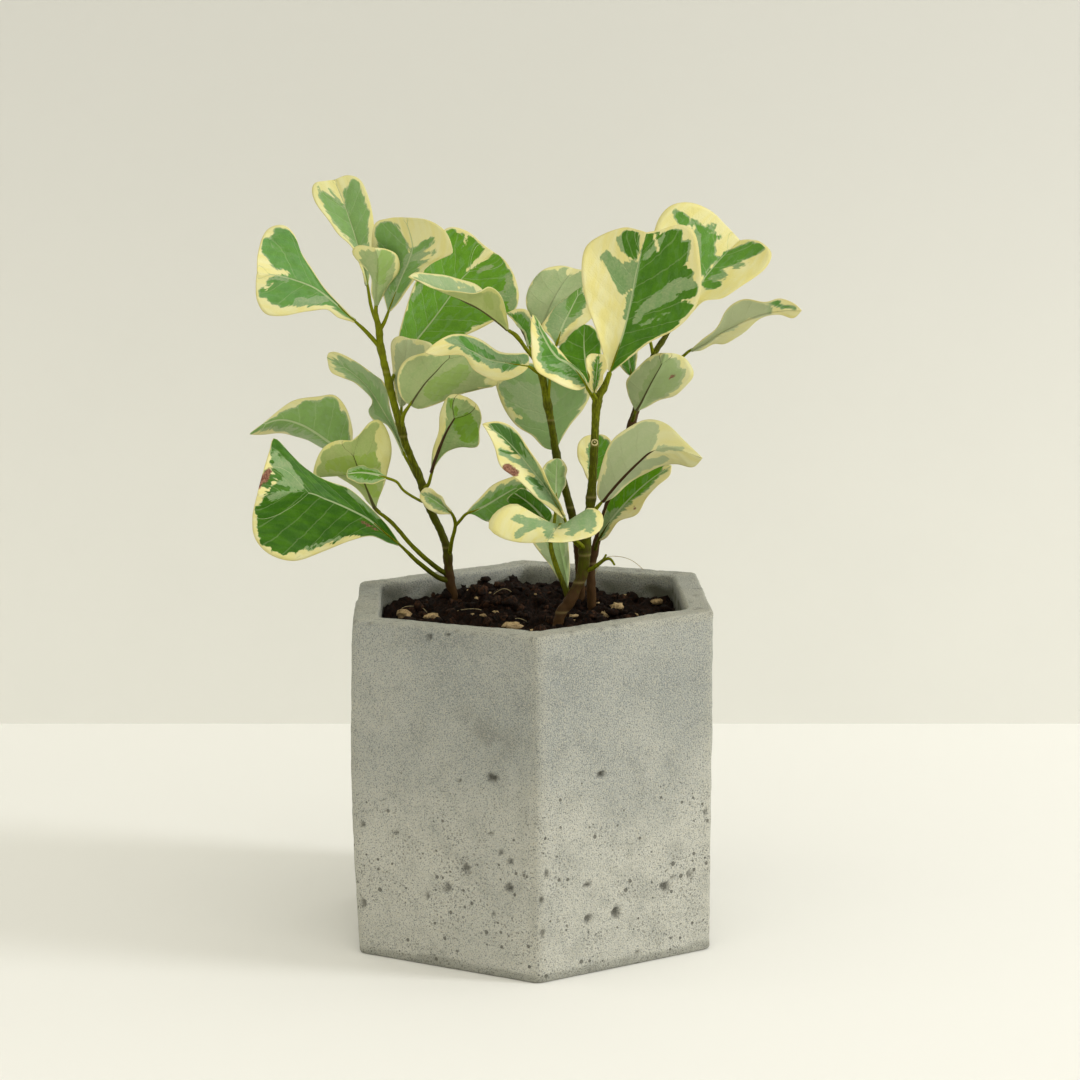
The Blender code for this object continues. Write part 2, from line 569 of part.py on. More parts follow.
FRONT_LEAVES = [
    dict(
        petiole=[(20.5, 156.2, 0, 0.75)],
        base=(22.2, 160.6),
        mid=[(24, 166), (26, 172), (27.4, 178), (28.6, 184), (29.7, 190), (32.3, 200.3)],
        left=[
            (20.8, 164), (18.5, 172), (15.5, 181), (14, 189), (15.2, 196), (20, 199.6), (26, 201.7),
            (30, 201),
        ],
        right=[
            (26, 163.5), (33, 169), (40.5, 172.7), (45.5, 178), (47.7, 184), (47.6, 192), (46, 200),
            (42, 202.4), (36.5, 201),
        ],
        depth=(0, -8),
        arch=2.5,
        lift=(-4, -5),
    ),
    dict(
        petiole=[(18.8, 152.8, 0, 0.55)],
        base=(17.7, 154.6),
        mid=[(18.2, 158), (18.6, 162), (19, 166)],
        left=[(16.6, 157), (16.2, 161), (15.2, 164), (16.7, 165.9)],
        right=[(19.3, 156.5), (20.4, 159.3), (21.4, 162.8), (20.7, 165.4)],
        depth=(-3, -6),
        lift=(-2.5, -2.5),
    ),
    dict(
        petiole=[(18.6, 151.6, 0, 0.65), (17, 154.3, -1.5, 0.55)],
        base=(15.6, 156.6),
        mid=[(13.3, 160.4), (10.5, 163.1), (7.2, 165), (4.6, 168.5), (2.3, 173), (0.4, 177.3)],
        left=[(13, 155.7), (8.5, 157), (4, 159.3), (1.5, 161.5), (0.3, 165.5), (-0.3, 171), (-0.1, 175)],
        right=[(15.4, 158.6), (13, 162.1), (10, 164.5), (7, 167.7), (4.2, 171.8), (2, 175.2)],
        depth=(-2.5, -12),
        arch=1,
        lift=(-5, 4),
    ),
    dict(
        petiole=[(18.9, 153, 0, 0.6), (18, 155.2, 3, 0.5)],
        base=(17, 157.2),
        mid=[(15.6, 162), (14.9, 168), (15, 174.4)],
        left=[(13.5, 159.8), (9.5, 164), (7.6, 167.4), (9.7, 170.3), (12.8, 173.2)],
        right=[(18.5, 160), (19.8, 165), (19.4, 170), (17.6, 173.6)],
        depth=(4.8, 14),
    ),
    dict(
        petiole=[(17, 124.5, -2, 0.65)],
        base=(17.3, 128),
        mid=[(17.7, 133), (18, 138), (18.3, 143.1)],
        left=[(15.6, 131), (13.5, 135.7), (13, 139.6), (15, 142.3)],
        right=[(20, 131), (22.5, 136), (23, 140.4), (21, 142.7)],
        depth=(3.2, 10),
        lift=(-1, -1),
    ),
    dict(
        petiole=[(16.7, 119.4, -2.6, 0.75), (18.7, 121.9, -4, 0.6)],
        base=(20, 123.4),
        mid=[(22.4, 126.4), (26, 130.5), (30.5, 135), (34.5, 138.2), (40, 139.3), (48.8, 136.2)],
        left=[(23.2, 124.8), (27, 128), (31.5, 131.4), (36, 133.7), (41, 134.3), (46, 133.6)],
        right=[
            (18.6, 126.5), (19.8, 133), (22.5, 140.8), (27.5, 145), (33, 147.3), (38.5, 146),
            (43.5, 141.3), (46.7, 138.2),
        ],
        depth=(-4.7, -24),
        arch=-1,
        lift=(5, 2),
    ),
    dict(
        petiole=[(15.2, 110, -3.5, 0.75), (12.8, 111.6, -6, 0.7), (10.8, 114.8, -7.5, 0.6)],
        base=(9.5, 118.5),
        mid=[(7, 123), (4, 127.8), (0, 133), (-4.5, 138.5), (-9, 143), (-14, 146)],
        left=[(7, 120.2), (2.5, 124), (-2, 128), (-5.5, 131), (-8.7, 134), (-10.5, 139), (-12.4, 143.3)],
        right=[(8.2, 123), (5.5, 128), (2, 134.3), (-1.5, 140.3), (-5, 144.6), (-9, 146.6), (-12.3, 146.5)],
        depth=(-8, -24),
        arch=1.5,
        lift=(-4, -3),
    ),
    dict(
        petiole=[(5.2, 112.5, -1, 0.6), (6.4, 117, 2, 0.5)],
        base=(7.1, 123.4),
        mid=[(7, 128), (7.1, 132), (7.3, 136.1)],
        left=[(5, 128), (3, 132.2), (4, 134.6), (5.7, 135.8)],
        right=[(9.2, 127.5), (10, 131.5), (9.7, 134.3), (8.7, 135.7)],
        depth=(3.8, 7),
        lift=(0, 2),
    ),
    dict(
        petiole=[(15.2, 110, -4, 0.7), (12.4, 112.6, -9, 0.6), (10, 115.5, -12.5, 0.5)],
        base=(8.3, 117),
        mid=[(7.3, 115.8), (5.8, 114), (4.5, 111.9)],
        left=[(10.5, 117), (13, 118.6), (16.5, 121.6), (20, 120.4), (20.3, 116.5), (17, 113.3), (11, 112)],
        right=[
            (4.5, 117.5), (0, 120.5), (-5, 122.9), (-10, 120.8), (-12.5, 116.6), (-9, 113.4),
            (-3, 111.6),
        ],
        depth=(-14.5, -34),
        lift=(1, 1),
    ),
    dict(
        petiole=[(5.3, 112.6, -1, 0.6)],
        base=(4.7, 117),
        mid=[(2.2, 120.3), (-1, 123.4), (-5, 126.2)],
        left=[(2.5, 118.3), (-2, 120.4), (-5.5, 122.6), (-7.1, 124.3)],
        right=[(5.7, 120), (3.5, 123), (0, 126), (-2.8, 127.6)],
        depth=(-1.5, -8),
        lift=(1, 1),
    ),
    dict(
        petiole=[(10.6, 95.6, -5, 0.7)],
        base=(10.4, 98.2),
        mid=[(9.6, 103), (8.3, 109), (7.3, 115), (7, 120)],
        left=[(10.9, 102), (10.9, 107), (10.4, 112), (10.3, 117), (9.3, 119.6)],
        right=[(8, 100.6), (4.6, 106), (0.3, 111.6), (-0.3, 116), (3.5, 119.4)],
        depth=(-1.5, 12),
        lift=(0, 0.5),
    ),
]

# The right stem, behind the front one
RIGHT_FOOT = [(17.8, 14.5, STEM_FOOT, 1.5), (17.8, 14.5, 86, 1.45)]
RIGHT_STEM = [
    (17.1, 98, 14, 1.35),
    (17.2, 105, 14, 1.2),
    (18.4, 111, 14, 1.1),
    (20.8, 119, 14.5, 1.05),
    (23, 127, 15, 1),
    (26.3, 138.5, 16, 1),
    (28.8, 147, 17, 1.1),
    (31.5, 156, 19, 0.95),
    (34.6, 165.5, 21, 0.9),
    (37, 169.5, 23, 0.75),
    (39.5, 173.5, 25.5, 0.55),
]
RIGHT_TWIGS = [
    [(34.5, 165.3, 21, 0.6), (33.8, 168.8, 21, 0.5), (32.6, 172.5, 21, 0.4)],
]
RIGHT_LEAVES = [
    dict(
        petiole=[(37, 169.5, 23, 0.6)],
        base=(39.5, 173.5),
        mid=[(43.3, 179.5), (48.3, 186.8), (53, 192.6), (58.7, 198.1)],
        left=[
            (37.5, 177.5), (34.7, 186), (34.2, 196), (35.5, 203.5), (39, 207.8), (44.5, 208.7),
            (50.5, 206.3), (55, 202),
        ],
        right=[
            (44, 176.5), (48.5, 180.8), (54, 181.6), (60, 186), (66, 190.4), (67.6, 194.5),
            (64.5, 197.6), (61.3, 198.3),
        ],
        depth=(25.5, 44),
        arch=1,
        lift=(-3, -5),
    ),
    dict(
        petiole=[(34, 163.4, 20.5, 0.6), (39, 163.6, 19, 0.5), (42.3, 164.9, 17.5, 0.45)],
        base=(44.8, 166.9),
        mid=[(48.5, 168.6), (53, 171.5), (58, 174.2), (64, 176.9), (70, 178.2), (76.4, 178.3)],
        left=[(48, 167), (51.5, 169), (55, 168.9), (59.5, 171.5), (64, 175.9), (70, 177), (74, 176.2)],
        right=[(48, 169.7), (52, 173), (55, 178.5), (60, 181.3), (66, 180.9), (70, 181.7), (74, 180.3)],
        depth=(16.4, -2),
        lift=(2, -3),
    ),
    dict(
        petiole=[(28.4, 146, 16.8, 0.75)],
        base=(29.6, 149.6),
        mid=[(31, 152), (33, 156), (35, 159.8), (36.7, 162.9), (38, 166.3)],
        left=[(33, 151), (37, 153), (41.5, 154.8), (45, 158), (45.9, 161), (44, 164.4), (41, 166)],
        right=[(28.2, 152.7), (26.7, 157.5), (29, 161), (32.5, 164.5), (35.5, 166.1)],
        depth=(14, 2),
        lift=(2, 2),
    ),
    dict(
        petiole=[(17.9, 108.5, 14, 0.65)],
        base=(18.9, 112),
        mid=[(22.5, 118), (28, 124.5), (34, 130), (40, 134)],
        left=[(20, 117), (22.5, 124), (27, 129.6), (32, 133.4), (37, 135)],
        right=[(21.5, 113.2), (25, 117.8), (30, 119.8), (32.5, 124.2), (36, 128.1), (39.3, 131)],
        depth=(11.6, -1),
        lift=(0, -1),
    ),
    dict(
        petiole=[(30.6, 153, 18.5, 0.5), (29.3, 156, 17, 0.45)],
        base=(28.4, 159.4),
        mid=[(27.9, 162.5), (27, 167), (26, 171.5)],
        left=[(26.3, 161), (24, 164.5), (23, 169)],
        right=[(29.3, 161), (30, 166), (29, 170.5)],
        depth=(16.3, 13),
    ),
]


def hexagon(radius, bottom, top, corner, name, storeys=1):
    """A hexagonal block with rounded upright edges, one corner towards the viewer."""
    shape = bmesh.new()
    bmesh.ops.create_cone(
        shape,
        cap_ends=True,
        segments=6,
        radius1=radius[0] * MM,
        radius2=radius[1] * MM,
        depth=(top - bottom) * MM,
    )
    bmesh.ops.translate(shape, verts=shape.verts, vec=(0, 0, (top + bottom) / 2 * MM))
    upright = [e for e in shape.edges if abs(e.verts[0].co.z - e.verts[1].co.z) > 0.001]
    bmesh.ops.bevel(
        shape, geom=upright, offset=corner * MM, segments=3, affect="EDGES", profile=0.5
    )
    for level in range(1, storeys):
        everything = [*shape.verts, *shape.edges, *shape.faces]
        middle = (0, 0, (bottom + (top - bottom) * level / storeys) * MM)
        bmesh.ops.bisect_plane(shape, geom=everything, plane_co=middle, plane_no=(0, 0, 1))
    # The first corner of a cone made this way lies on the Y axis.
    turn = Matrix.Rotation(POT_YAW, 3, "Z")
    bmesh.ops.rotate(shape, verts=shape.verts, cent=(0, 0, 0), matrix=turn)
    mesh = bpy.data.meshes.new(name)
    shape.to_mesh(mesh)
    shape.free()
    return mesh


def pour(mesh):
    """A hand-poured block: its rim a little lower on the left, its left side bulging."""
    for point in mesh.vertices:
        x, y, z = point.co / MM
        level = min(1.0, max(0.0, z / POT_HEIGHT))
        shift = LEAN
        if x < 0:
            shift = LEAN * (3 * level - 1 if level < 0.6 else 0.8) + BULGE * math.sin(math.pi * level)
        if x < 0 < y:
            shift -= 0.6
        point.co.x = (x - shift * abs(x) / 50) * MM
        if z > POT_HEIGHT - 1:
            point.co.z = (z + RIM_TILT * x) * MM


def cut(thing, tool):
    difference = thing.modifiers.new("cut", "BOOLEAN")
    difference.operation = "DIFFERENCE"
    difference.solver = "EXACT"
    difference.object = tool


def make_pot(group, tools, material):
    outer = hexagon((POT_FOOT_RADIUS, POT_RIM_RADIUS), 0, POT_HEIGHT, POT_CORNER, "pot", 5)
    pour(outer)
    pot = add_object("pot", outer, group, material)
    wall = POT_WALL / math.cos(math.pi / 6)
    inner = (POT_FOOT_RADIUS - wall, POT_RIM_RADIUS - wall)
    hollow = hexagon(inner, POT_FLOOR, POT_HEIGHT + 8, POT_CORNER_INNER, "hollow")
    for point in hollow.vertices:
        point.co.x -= LEAN * MM * abs(point.co.x / MM) / 50
    hollow = helper(add_object("hollow", hollow, tools))
    cut(pot, hollow)
    edge = pot.modifiers.new("worn edges", "BEVEL")
    edge.width = RIM_ROUND * MM
    edge.segments = 2
    edge.limit_method = "ANGLE"
    edge.angle_limit = math.radians(50)
    return pot


def soil_height(x, y, phase):
    """Height of the soil in millimetres: heaped behind the middle, lumpy, lower at the left wall."""
    heap = 4.4 * math.exp(-((x + 9) ** 2) / 520 - (y - 25) ** 2 / 320)
    slope = 0.020 * x + 0.022 * y
    lumps = 0.8 * math.sin(x * 0.41 + phase) * math.cos(y * 0.37 - 0.6 * phase)
    lumps += 0.55 * math.sin(x * 0.83 - y * 0.71 + phase)
    return SOIL_TOP + heap + slope + lumps


def make_soil(group, tools, material, stems):
    wall = POT_WALL / math.cos(math.pi / 6) + SOIL_GAP / math.cos(math.pi / 6)
    low = POT_FOOT_RADIUS + (POT_RIM_RADIUS - POT_FOOT_RADIUS) * SOIL_BOTTOM / POT_HEIGHT
    block = hexagon((low - wall, low - wall), SOIL_BOTTOM, SOIL_TOP, POT_CORNER_INNER, "soil")
    shape = bmesh.new()
    shape.from_mesh(block)
    top = [f for f in shape.faces if f.normal.z > 0.9]
    bmesh.ops.triangulate(shape, faces=top)
    for _ in range(2):
        top = [f for f in shape.faces if f.normal.z > 0.9]
        inside = {e for f in top for e in f.edges}
        rim = {e for e in inside if sum(f in top for f in e.link_faces) == 1}
        bmesh.ops.subdivide_edges(shape, edges=list(inside - rim), cuts=1, use_grid_fill=True)
        top = [f for f in shape.faces if f.normal.z > 0.9]
        bmesh.ops.triangulate(shape, faces=[f for f in top if len(f.verts) > 3])
    for point in shape.verts:
        if point.co.z > (SOIL_TOP - 1) * MM:
            x, y = point.co.x / MM, point.co.y / MM
            point.co.z = soil_height(x, y, 0.7) * MM
        point.co.x -= LEAN * MM * abs(point.co.x / MM) / 50
    shape.to_mesh(block)
    shape.free()
    soil = add_object("soil", block, group, material)
    holes = bpy.data.collections.new("stem_holes")
    tools.children.link(holes)
    for i, (foot, stem) in enumerate(stems):
        path = [(x, y, z - (6 if j == 0 else 0), r + HOLE_GAP) for j, (x, y, z, r) in enumerate(foot)]
        wide = [(x, z, depth, radius + HOLE_GAP) for x, z, depth, radius in stem[:3]]
        helper(rod(f"hole_{i}", holes, wide, sides=8, step=7.0, before=path))
    drill = soil.modifiers.new("stem holes", "BOOLEAN")
    drill.operation = "DIFFERENCE"
    drill.solver = "EXACT"
    drill.operand_type = "COLLECTION"
    drill.collection = holes
    return soil


def main():
    start_clean()
    fig = new_collection("triangle_fig_in_hexagonal_pot")
    tools = new_collection("cutters")
    concrete = new_material("concrete", (0.42, 0.43, 0.40), 0.85)
    earth = new_material("potting_soil", (0.03, 0.018, 0.012), 0.95)
    green = new_material("variegated_leaves", (0.24, 0.38, 0.12), 0.45)
    make_pot(fig, tools, concrete)
    stems = [
        (LEFT_FOOT, LEFT_STEM),
        (MIDDLE_FOOT, MIDDLE_STEM),
        (FRONT_FOOT, FRONT_STEM),
        (RIGHT_FOOT, RIGHT_STEM),
    ]
    make_soil(fig, tools, earth, stems)
    leafy_stem("leafy_stem_left", LEFT_FOOT, LEFT_STEM, LEFT_TWIGS, LEFT_LEAVES, fig, green)
    leafy_stem("leafy_stem_middle", MIDDLE_FOOT, MIDDLE_STEM, MIDDLE_TWIGS, MIDDLE_LEAVES, fig, green)
    leafy_stem("leafy_stem_front", FRONT_FOOT, FRONT_STEM, FRONT_TWIGS, FRONT_LEAVES, fig, green)
    leafy_stem("leafy_stem_right", RIGHT_FOOT, RIGHT_STEM, RIGHT_TWIGS, RIGHT_LEAVES, fig, green)


main()
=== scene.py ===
"""The looks of a small variegated triangle fig in a hexagonal concrete planter on a pale table.

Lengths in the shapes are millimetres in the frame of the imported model: +Z up, origin at the centre of
the planter's underside, the viewer on -Y. Leaves and stems are given in the upright plane through the
planter's axis, as the eye of the photograph sees them, with a depth behind that plane.
"""

import math

import bpy
import numpy as np
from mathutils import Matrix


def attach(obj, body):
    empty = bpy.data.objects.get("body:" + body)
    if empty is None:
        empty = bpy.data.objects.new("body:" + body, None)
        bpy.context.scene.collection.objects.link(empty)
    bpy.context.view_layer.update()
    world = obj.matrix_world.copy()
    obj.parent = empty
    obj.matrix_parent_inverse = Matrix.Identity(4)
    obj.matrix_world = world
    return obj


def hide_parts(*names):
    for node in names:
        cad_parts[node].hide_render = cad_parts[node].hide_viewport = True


bl_info = {
    "name": "Triangle Fig in a Hexagonal Planter",
    "version": (1, 0, 0),
    "blender": (4, 5, 0),
    "location": "View3D > Sidebar > Fig",
    "description": "Makes a variegated triangle fig, its concrete planter and soil, and their stage",
    "category": "Add Mesh",
}

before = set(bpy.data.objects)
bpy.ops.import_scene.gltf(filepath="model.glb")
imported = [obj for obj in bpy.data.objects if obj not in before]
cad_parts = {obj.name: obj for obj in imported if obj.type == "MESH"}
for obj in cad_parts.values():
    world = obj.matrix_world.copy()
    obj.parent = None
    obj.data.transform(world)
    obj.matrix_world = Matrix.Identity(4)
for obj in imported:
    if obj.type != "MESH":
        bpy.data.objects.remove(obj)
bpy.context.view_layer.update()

MM = 0.001
# Where the photograph's eye is, and how much higher the model stands than the eye took it to
EYE = (2.4, -814.0, 256.0)
RAISED = 0.8
WALL_BEHIND = 244.0

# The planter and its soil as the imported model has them, in millimetres. A rounded corner takes up
# CORNER_TURN on each side of it, and the lean is what a side moves by HALF_WIDTH from the middle.
RIM_RADIUS = 58.4
FOOT_RADIUS = 58.2
HEIGHT = 97.2
WALL = 7.6
FLOOR = 11
POT_YAW = math.radians(2.0)
CORNER_ROUND = 3.0
CORNER_TURN = math.radians(3.4)
FLAT_INSET = 0.3
INNER_CORNER_ROUND = 3.5
HALF_WIDTH = 50
LEAN = 0.45
BULGE = 1.0
RIM_TILT = 0.021
SOIL_TOP = 89.4
SOIL_FOOT = 64.0
SOIL_GAP = 0.3


def paint(code):
    """A colour written as six hexadecimal digits, as linear red, green and blue."""
    parts = [int(code[i : i + 2], 16) / 255 for i in (0, 2, 4)]
    return tuple(c / 12.92 if c < 0.04045 else ((c + 0.055) / 1.055) ** 2.4 for c in parts)


def colour_property(name, description, code):
    return bpy.props.FloatVectorProperty(
        name=name, description=description, subtype="COLOR", size=3, min=0, max=1, default=paint(code)
    )


def share_property(name, description, value):
    return bpy.props.FloatProperty(
        name=name, description=description, default=value, min=0, max=1, subtype="FACTOR"
    )


def length_property(name, description, value, low, high):
    return bpy.props.FloatProperty(
        name=name,
        description=description,
        default=value * MM,
        min=low * MM,
        max=high * MM,
        subtype="DISTANCE",
        unit="LENGTH",
        precision=5,
    )


# Shapes on grids


def ease(low, high, x):
    """0 below low, 1 above high, and 3t^2 - 2t^3 between them."""
    t = np.clip((x - low) / (high - low), 0, 1)
    return t * t * (3 - 2 * t)


def sight(x, z, depth):
    """Points at a depth on the lines from the eye E through (x, 0, z): E + (P - E)(depth - Ey)/(-Ey)."""
    k = (depth - EYE[1]) / -EYE[1]
    return np.stack([EYE[0] + (x - EYE[0]) * k, depth + 0 * x, RAISED + EYE[2] + (z - EYE[2]) * k], -1)


def smooth(points, count):
    """A cubic through each point whose slope there is half the step between its neighbours, as count
    places evenly spaced by arc length."""
    points = np.array(points, float)
    ends = np.vstack([2 * points[0] - points[1], points, 2 * points[-1] - points[-2]])
    p0, p1, p2, p3 = (ends[i : len(points) - 1 + i, None] for i in range(4))
    t = np.linspace(0, 1, 12, endpoint=False)[None, :, None]
    curve = 2 * p1 + (p2 - p0) * t + (2 * p0 - 5 * p1 + 4 * p2 - p3) * t**2
    curve = 0.5 * (curve + (3 * p1 - p0 - 3 * p2 + p3) * t**3)
    fine = np.vstack([curve.reshape(-1, points.shape[1]), points[-1]])
    along = np.concatenate([[0], np.cumsum(np.linalg.norm(np.diff(fine, axis=0), axis=1))])
    wanted = np.linspace(0, along[-1], count)
    return np.stack([np.interp(wanted, along, fine[:, k]) for k in range(fine.shape[1])], axis=1)


def wave_noise(x, y, z, seed, size=1.0):
    """A sum of sine waves in seeded directions, about -1 to 1, with wavelengths from 1 up to 3 sizes."""
    x, y, z = x / size, y / size, z / size
    rng = np.random.default_rng(seed)
    ways = rng.normal(size=(14, 3))
    ways /= np.linalg.norm(ways, axis=1)[:, None]
    pitches = 2 * math.pi / rng.uniform(1.0, 3.0, len(ways))
    phases = rng.uniform(0, 2 * math.pi, len(ways))
    total = 0
    for way, pitch, phase in zip(ways, pitches, phases):
        total = total + np.sin((way[0] * x + way[1] * y + way[2] * z) * pitch + phase)
    return total / math.sqrt(len(ways) / 2) / 1.6


def grid_faces(index, closed=False):
    """Four-sided faces over a grid of vertex numbers; closed joins the last column to the first."""
    if closed:
        index = np.concatenate([index, index[:, :1]], axis=1)
    return np.stack([index[:-1, :-1], index[:-1, 1:], index[1:, 1:], index[1:, :-1]], -1).reshape(-1, 4)


def poled(grid):
    """The places of a grid whose first and last rows each meet in one point."""
    return np.vstack([grid[0, 0], grid[1:-1].reshape(-1, grid.shape[2]), grid[-1, 0]])


def poled_faces(rows, columns):
    """The faces of such a grid, closed round."""
    index = 1 + np.arange((rows - 2) * columns).reshape(-1, columns)
    return grid_faces(np.vstack([0 * index[0], index, 0 * index[0] + index.max() + 1]), closed=True)


class Body:
    """Vertices, faces, values for each vertex and map places, gathered into one mesh."""

    def __init__(self):
        self.points = []
        self.faces = []
        self.slots = []
        self.values = {}
        self.maps = []
        self.count = 0

    def add(self, points, faces, slot=0, uv=None, **values):
        """Faces are rows of four vertex numbers, counted from this call's first vertex."""
        self.add_faces(faces + self.count, slot)
        self.points.append(points)
        for name, value in values.items():
            self.values.setdefault(name, []).append(value)
        self.maps.append(np.zeros((len(points), 2)) if uv is None else uv)
        self.count += len(points)

    def add_faces(self, rows, slot):
        """Four-sided faces, and those at a pole without their doubled corner."""
        doubled = (np.diff(np.sort(rows, axis=1), axis=1) == 0).sum(axis=1)
        self.faces += rows[doubled == 0].tolist()
        self.faces += [list(dict.fromkeys(row)) for row in rows[doubled == 1].tolist()]
        self.slots += [slot] * (len(self.faces) - len(self.slots))

    def finish(self, name, materials, replaces=()):
        """The mesh as an object that rides on the model, with smooth faces."""
        mesh = bpy.data.meshes.new(name)
        mesh.from_pydata((np.concatenate(self.points) * MM).tolist(), [], self.faces)
        for material in materials:
            mesh.materials.append(material)
        mesh.polygons.foreach_set("material_index", np.array(self.slots, np.int32))
        mesh.polygons.foreach_set("use_smooth", np.ones(len(self.faces), bool))
        for title, values in self.values.items():
            values = np.concatenate(values)
            layer = mesh.color_attributes.new(title, "FLOAT_COLOR", "POINT")
            layer.data.foreach_set("color", np.hstack([values, np.ones((len(values), 1))]).ravel())
        corners = np.empty(len(mesh.loops), np.int32)
        mesh.loops.foreach_get("vertex_index", corners)
        layer = mesh.uv_layers.new(name="surface")
        layer.data.foreach_set("uv", np.concatenate(self.maps)[corners].ravel())
        mesh.update()
        thing = bpy.data.objects.new(name, mesh)
        bpy.context.scene.collection.objects.link(thing)
        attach(thing, "root")
        if replaces:
            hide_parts(*replaces)


def tube(body, path, sides, step, bark=None, swell=None):
    """A round rod along a path of (x, y, z, radius): each ring is P(s) + r(s)(U cos a + V sin a), with U
    and V square to the path and carried along it without twist. Both ends close on a pole."""
    path = np.array(path, float)
    length = np.linalg.norm(np.diff(path[:, :3], axis=0), axis=1).sum()
    line = smooth(path, max(5, round(length / step) + 1))
    centre, radius = line[:, :3], line[:, 3]
    if swell is not None:
        radius = radius * (1 + swell(centre))
    ahead = np.gradient(centre, axis=0)
    ahead /= np.linalg.norm(ahead, axis=1)[:, None]
    side = np.cross(ahead[0], [0.3, 1.0, 0.2])
    across = []
    for way in ahead:
        side = side - way * (side @ way)
        side = side / np.linalg.norm(side)
        across.append(side)
    across = np.array(across)
    other = np.cross(ahead, across)
    turn = np.linspace(0, 2 * math.pi, sides, endpoint=False)
    out = across[:, None] * np.cos(turn)[None, :, None] + other[:, None] * np.sin(turn)[None, :, None]
    rough = 1 + 0.05 * wave_noise(centre[:, 2:3], 1.5 * np.cos(turn), 1.5 * np.sin(turn), 5)
    rings = centre[:, None] + out * (radius[:, None] * rough)[..., None]
    first = centre[0] - ahead[0] * radius[0] * 0.5
    last = centre[-1] + ahead[-1] * radius[-1] * 0.6
    points = np.vstack([first, rings.reshape(-1, 3), last])
    along = np.linspace(0, length, len(line))
    flat = np.stack([0 * along[:, None] + turn / (2 * math.pi), along[:, None] / 10 + 0 * turn], -1)
    flat = np.vstack([flat[0, 0], flat.reshape(-1, 2), flat[-1, 0]])
    values = bark(points) if bark else np.zeros((len(points), 3))
    body.add(points, poled_faces(len(line) + 2, sides), 0, flat, bark=values)


# Stems and leaves as the imported model has them, in millimetres as the eye sees them. A foot in the soil
# is (x, y, z, radius), and stems, twigs and petioles are (x, z, depth, radius). A blade has its base, its
# midrib from there and its left and right margins, all as x and z by turns, the depths of its base and
# tip, the arch of its midrib and the lift of its left and right halves.
# Green and then sage say how far each colour reaches from the midrib, as a share of the half blade, in
# sectors from the base to the tip: (left half, right half), or one row for both. Patches are (along,
# across, length, width) in the blade's own measures: pale ones lie on the green, brown ones are dead
# margin. Warm runs from blue-green 0 to yellow-green 1, deep darkens, the midrib forks at fork, bleach
# fades the underside, rib is how dark the midrib shows on it and stop where it ends, the share of painted
# light lays a painted sheen over the upper face and a painted glow of light shining through on the
# underside, and rim keeps a cream edge this wide. Strokes are painted over all that, one after another:
# (colour, then x, z and radius at its start, at each bend and at its end).
# BARE is a blade without a colour, and USUAL is what a blade has unless it says otherwise.
BARE = (-0.3, -0.3)
USUAL = dict(arch=0, lift=(0, 0), green=BARE, sage=BARE, pale=(), brown=(), warm=1, deep=0, fork=0.99,
             bleach=0.5, rib=1, painted_light=0, rim=0, stop=1.2, strokes=())

